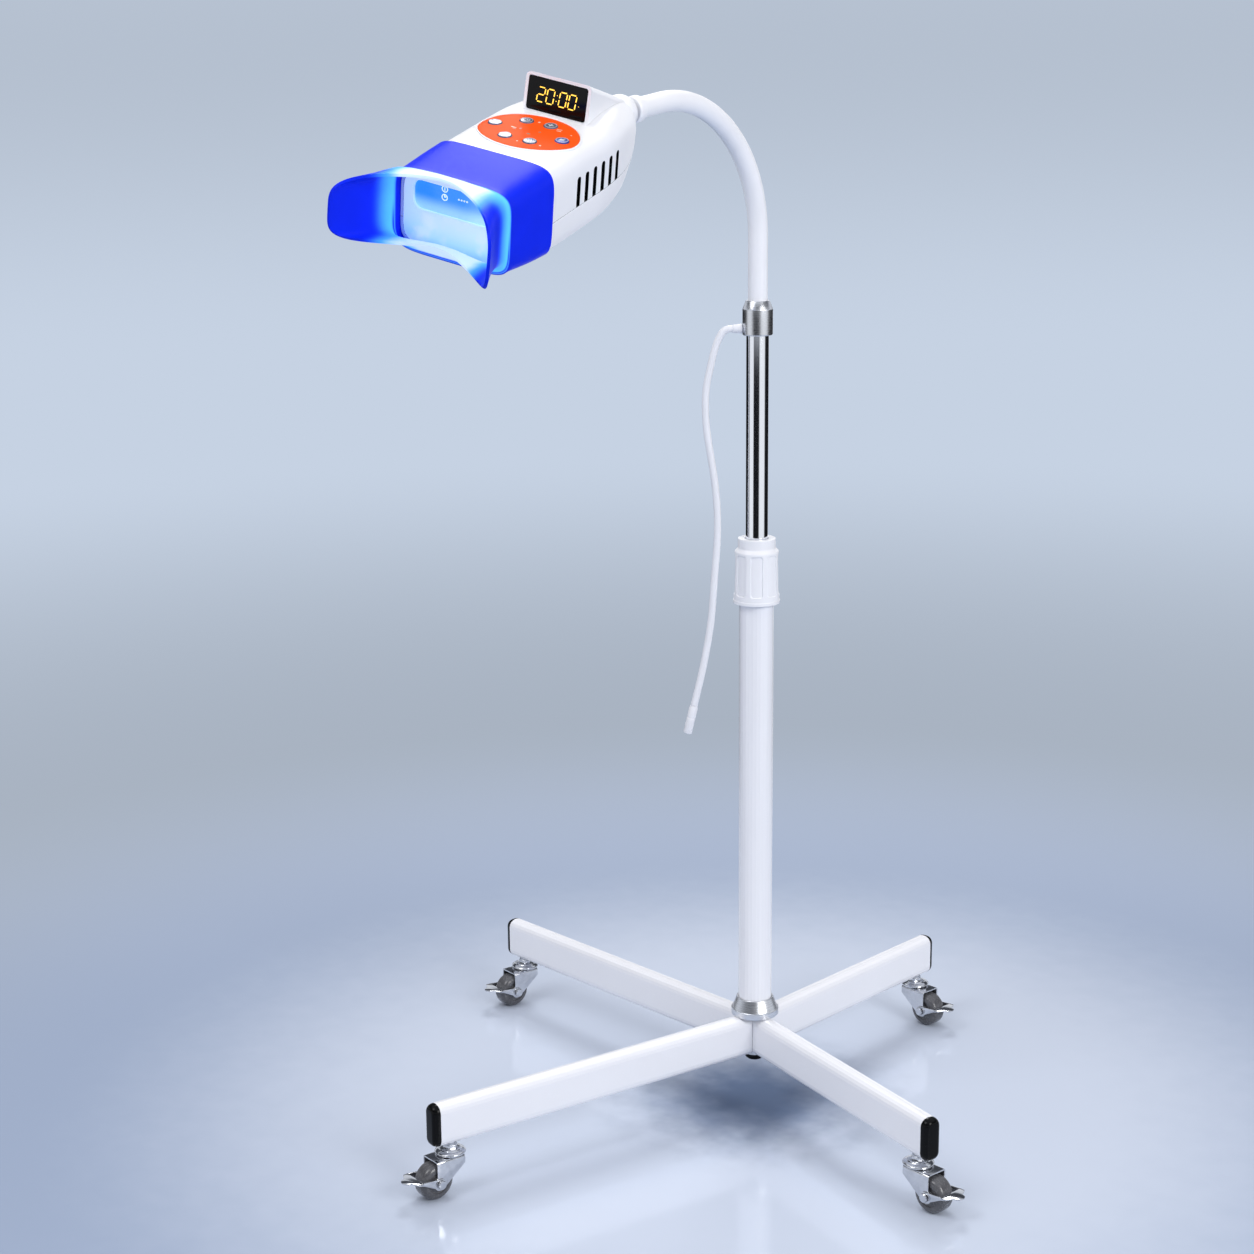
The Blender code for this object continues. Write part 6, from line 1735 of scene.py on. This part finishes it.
class LAMP_OT_panel(bpy.types.Operator):
    """Control panel: crowned film, raised rim, keys with plain signs, and small marks"""
    bl_idname = "lamp.panel"
    bl_label = "Control panel"

    # Small marks: side and length places as shares, length, width, turn in degrees, finish
    MARKS = (
        (-0.07, 0.63, 0.0021, 0.0021, 0, "pale"), (0.05, -0.63, 0.0015, 0.0015, 0, "pale"),
        (0.51, -0.56, 0.0018, 0.0018, 0, "pale"), (0.73, 0.40, 0.0012, 0.0012, 0, "pale"),
        (-0.34, 0.03, 0.0052, 0.0011, 0, "pale"), (-0.30, -0.04, 0.0036, 0.0010, 0, "dull"),
        (-0.20, 0.05, 0.0024, 0.0018, 20, "dull"), (0.05, -0.12, 0.0030, 0.0026, 0, "dull"),
        (0.18, 0.12, 0.0024, 0.0022, 0, "dull"), (0.42, 0.52, 0.0050, 0.0010, 8, "pale"),
        (0.44, 0.44, 0.0042, 0.0010, 8, "pale"),
    )

    def execute(self, context):
        film, white = finish_of("panel_film"), finish_of("shell_plastic")
        piece = hand_over("panel_film", film_mesh(), "head", film, HEAD, sharp=50.0)
        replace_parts(piece, "control_panel")
        hand_over("panel_rim", rim_mesh(), "head", white, HEAD, sharp=70.0)
        for index, (side, length, long, wide, turn, ink) in enumerate(self.MARKS):
            spot = key_spot(side, length)
            mark = flat_sign([(0, 0, long, wide, math.radians(turn))], height=MARK_HEIGHT)
            height = shell_height(spot.x, spot.y) + PANEL_PROUD - MARK_SINK
            place = HEAD @ Matrix.Translation((spot.x, spot.y, height)) @ self.lie(spot)
            hand_over("mark_" + str(index), mark, "head", finish_of("print_" + ink), place)
        for name, side, length in KEY_SHARES:
            self.key(name, key_spot(side, length))
        return {"FINISHED"}

    @staticmethod
    def lie(spot):
        """Turn that lays a flat mark on the crown."""
        step = SLOPE_STEP
        slope_x = (shell_height(spot.x + step, spot.y) - shell_height(spot.x - step, spot.y)) / (2 * step)
        slope_y = (shell_height(spot.x, spot.y + step) - shell_height(spot.x, spot.y - step)) / (2 * step)
        return UP.rotation_difference(Vector((-slope_x, -slope_y, 1))).to_matrix().to_4x4()

    @staticmethod
    def key(name, spot):
        """One key with its ring and its sign."""
        top = shell_height(spot.x, spot.y) + PANEL_PROUD + BUTTON_PROUD
        rim = PANEL_FLOOR - GAP
        low = rim - BUTTON_RIM_HEIGHT
        reach = BUTTON_RADIUS + BUTTON_RIM
        work = turned(
            [(0, top), *((BUTTON_RADIUS - inset, top - drop) for inset, drop in KEY_CROWN),
             (BUTTON_RADIUS, rim), (reach, rim), (reach, low), (BUTTON_STEM_RADIUS, low),
             (BUTTON_STEM_RADIUS, low - BUTTON_STEM), (0, low - BUTTON_STEM)], KEY_EDGE, 64)
        place = HEAD @ Matrix.Translation(spot)
        on_top = place @ Matrix.Translation(UP * (top - SIGN_SINK))
        body = "button_" + name
        film, slot = ("key_film_blue", "button_blue") if name == "start" else ("key_film", "button_grey")
        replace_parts(hand_over("key_" + name, work, body, finish_of(film), place), body)
        ring = flat_ring(BUTTON_RADIUS - KEY_RING_INSET, KEY_RING_WIDTH)
        hand_over("key_rim_" + name, ring, body, finish_of("key_rim"), on_top)
        hand_over("key_sign_" + name, key_icon(name), body, finish_of("key_sign"), on_top)


class LAMP_OT_icons(bpy.types.Operator):
    """Plain signs on the lit pane"""
    bl_idname = "lamp.icons"
    bl_label = "Pane signs"

    def execute(self, context):
        front = HEAD @ Matrix.Translation((0, PANE_INSET - HEAD_NOSE + PANE_SIGN_SINK, 0)) @ UPRIGHT
        signs = [moved(flat_sign(bars, ring), Matrix.Translation(spot)) for spot, ring, bars in PANE_SIGNS]
        signs.append(flat_sign(PANE_DOTS))
        hand_over("pane_signs", joined(*signs), "head", finish_of("pane_sign"), front)
        return {"FINISHED"}


class LAMP_OT_guard(bpy.types.Operator):
    """Mouth guard: a grip around the nose and the swept flare"""
    bl_idname = "lamp.guard"
    bl_label = "Mouth guard"

    def execute(self, context):
        outset = GUARD_WALL + GAP - SHELL_STEP
        start = HEAD_NOSE + 2 * GUARD_WALL
        stations = [(GUARD_EDGE + (start - GUARD_EDGE) * share, 0, 0, 0, 0) for share in GUARD_GRIP_SHARES]
        for step in range(GUARD_STEPS + 1):
            share = step / GUARD_STEPS
            flare, rise, curve = smooth_through(GUARD_FLARE_SHARES, share)
            stations.append((start + (GUARD_RIM - start) * share, flare, rise, curve, share))
        rings, marks = [], []
        for reach, flare, rise, curve, share in stations:
            half, top, bottom, power = head_section(min(reach, HEAD_NOSE))
            power -= GUARD_POWER_LOSS * curve
            half, top, bottom = half + outset, top + outset, bottom + outset
            half += (GUARD_WING_HALF_WIDTH - half) * flare
            top += (GUARD_TOP - top) * rise
            bottom += (GUARD_FLOOR - bottom) * rise
            twist = Matrix.Rotation(GUARD_TWIST * curve, 4, "Y")
            points = []
            for x, z in squarish(half, top, bottom, power, GUARD_POINTS, GUARD_WARP * rise):
                sweep = GUARD_WING_REACH * (abs(x) / half) ** GUARD_CURVE_POWER
                points.append(twist @ Vector((x, -reach - sweep * curve, z)))
                marks.append((share, x / GUARD_WING_HALF_WIDTH, (z + bottom) / (top + bottom)))
            rings.append(points)
        work = skin(rings)
        layers = [work.verts.layers.float.new(name) for name in ("flare", "side", "rise")]
        for vert, values in zip(work.verts, marks):
            for layer, value in zip(layers, values):
                vert[layer] = value
        finish = finish_of("guard_silicone")
        guard = hand_over("guard", work, "guard", finish, HEAD, sharp=60.0)
        wall = guard.modifiers.new("wall", "SOLIDIFY")
        wall.thickness = GUARD_WALL
        wall.offset = 1
        wall.use_even_offset = True
        edge = guard.modifiers.new("edge", "BEVEL")
        edge.width = GUARD_EDGE_ROUNDING
        edge.segments = 3
        edge.limit_method = "ANGLE"
        edge.angle_limit = math.radians(50)
        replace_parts(guard, "mouth_guard")
        return {"FINISHED"}


class LAMP_OT_display(bpy.types.Operator):
    """Lit digits in the display window"""
    bl_idname = "lamp.display"
    bl_label = "Display"

    SEGMENTS = {
        "0": "abcdef", "1": "bc", "2": "abged", "3": "abgcd", "4": "fgbc", "5": "afgcd",
        "6": "afgedc", "7": "abc", "8": "abcdefg", "9": "abcfgd",
    }

    def execute(self, context):
        stroke = sizes().stroke
        work = bmesh.new()
        left = READING_START
        base = (DISPLAY_HEIGHT - DIGIT_HEIGHT) / 2
        middle, top = base + DIGIT_HEIGHT / 2, base + DIGIT_HEIGHT
        trim = stroke * SEGMENT_TRIM_SHARE
        for sign in sizes().reading:
            if sign == ":":
                for share in COLON_SHARES:
                    x, z = left + COLON_INSET, base + DIGIT_HEIGHT * share
                    self.bar(work, x, z - stroke / 2, x, z + stroke / 2, stroke, base)
                left += COLON_PITCH
                continue
            right = left + DIGIT_WIDTH
            ends = {
                "a": (left + trim, top, right - trim, top),
                "g": (left + trim, middle, right - trim, middle),
                "d": (left + trim, base, right - trim, base),
                "f": (left, middle + trim, left, top - trim),
                "b": (right, middle + trim, right, top - trim),
                "e": (left, base + trim, left, middle - trim),
                "c": (right, base + trim, right, middle - trim),
            }
            for segment in self.SEGMENTS[sign]:
                self.bar(work, *ends[segment], stroke, base)
            left += DIGIT_PITCH
        x, z = left + COLON_INSET, base + DASH_LIFT
        self.bar(work, x, z, x + DASH_LENGTH, z, stroke / 2, base)
        finish = finish_of("amber_segments")
        hand_over("display_digits", work, "head", finish, LEAN, smooth=False)
        return {"FINISHED"}

    @staticmethod
    def bar(work, x0, z0, x1, z1, width, base):
        """A segment with pointed ends, leaning with the digits, a hair proud of the window."""
        start, end = Vector((x0, z0)), Vector((x1, z1))
        way = (end - start).normalized()
        side = Vector((-way.y, way.x)) * width / 2
        tip = way * width / 2
        outline = (start, start + side + tip, end + side - tip, end, end - side - tip, start - side + tip)
        face = work.faces.new([work.verts.new((point.x + (point.y - base) * DIGIT_LEAN, 0, point.y))
                               for point in outline])
        raised = bmesh.ops.extrude_face_region(work, geom=[face])
        verts = [item for item in raised["geom"] if isinstance(item, bmesh.types.BMVert)]
        bmesh.ops.translate(work, verts=verts, vec=(0, -DIGIT_PROUD, 0))


class LAMP_OT_finishes(bpy.types.Operator):
    """Finishes of the model's own nodes"""
    bl_idname = "lamp.finishes"
    bl_label = "Finishes"

    def execute(self, context):
        by_slot = {
            "white_paint": "powder_coat", "white_plastic": "shell_plastic", "chrome": "chrome_plate",
            "zinc_steel": "zinc_plate", "black_plastic": "black_moulding", "dark_wheel": "wheel_tread",
            "display_black": "display_glass", "panel_orange": "panel_film", "board_green": "green_board",
            "light_white": "lamp_frame", "lens_blue": "lamp_pane", "lead_white": "lead_sheath",
        }
        for node, made in frame["nodes"].items():
            slot = made.data.materials[0].name.split(".")[0] if made.data.materials else ""
            name = "brushed_steel" if node == "top_collar" else by_slot.get(slot)
            if name:
                made.data.materials.clear()
                made.data.materials.append(finish_of(name))
        return {"FINISHED"}


class LAMP_PT_panel(bpy.types.Panel):
    """Buttons and settings of the lamp"""
    bl_idname = "LAMP_PT_panel"
    bl_label = "Teeth whitening lamp"
    bl_space_type = "VIEW_3D"
    bl_region_type = "UI"
    bl_category = "Lamp"

    def draw(self, context):
        column = self.layout.column()
        for operator in STEPS:
            column.operator(operator.bl_idname)
        for group in (context.scene.lamp_colours, context.scene.lamp_sizes):
            for name in group.bl_rna.properties.keys():
                if name not in ("rna_type", "name"):
                    column.prop(group, name)


STEPS = (
    LAMP_OT_stage, LAMP_OT_turnings, LAMP_OT_casters, LAMP_OT_lead, LAMP_OT_neck, LAMP_OT_head,
    LAMP_OT_panel, LAMP_OT_display, LAMP_OT_icons, LAMP_OT_guard, LAMP_OT_finishes,
)
CLASSES = (LampColours, LampSizes, *STEPS, LAMP_PT_panel)


def register():
    for made in CLASSES:
        bpy.utils.register_class(made)
    bpy.types.Scene.lamp_colours = PointerProperty(type=LampColours)
    bpy.types.Scene.lamp_sizes = PointerProperty(type=LampSizes)


def unregister():
    del bpy.types.Scene.lamp_sizes
    del bpy.types.Scene.lamp_colours
    for made in reversed(CLASSES):
        bpy.utils.unregister_class(made)


def main():
    register()
    for made in list(bpy.data.objects):
        if made.type in ("LIGHT", "CAMERA") and made.name not in frame["nodes"]:
            bpy.data.objects.remove(made)
    for operator in STEPS:
        group, name = operator.bl_idname.split(".")
        getattr(getattr(bpy.ops, group), name)()


if __name__ == "__main__":
    main()
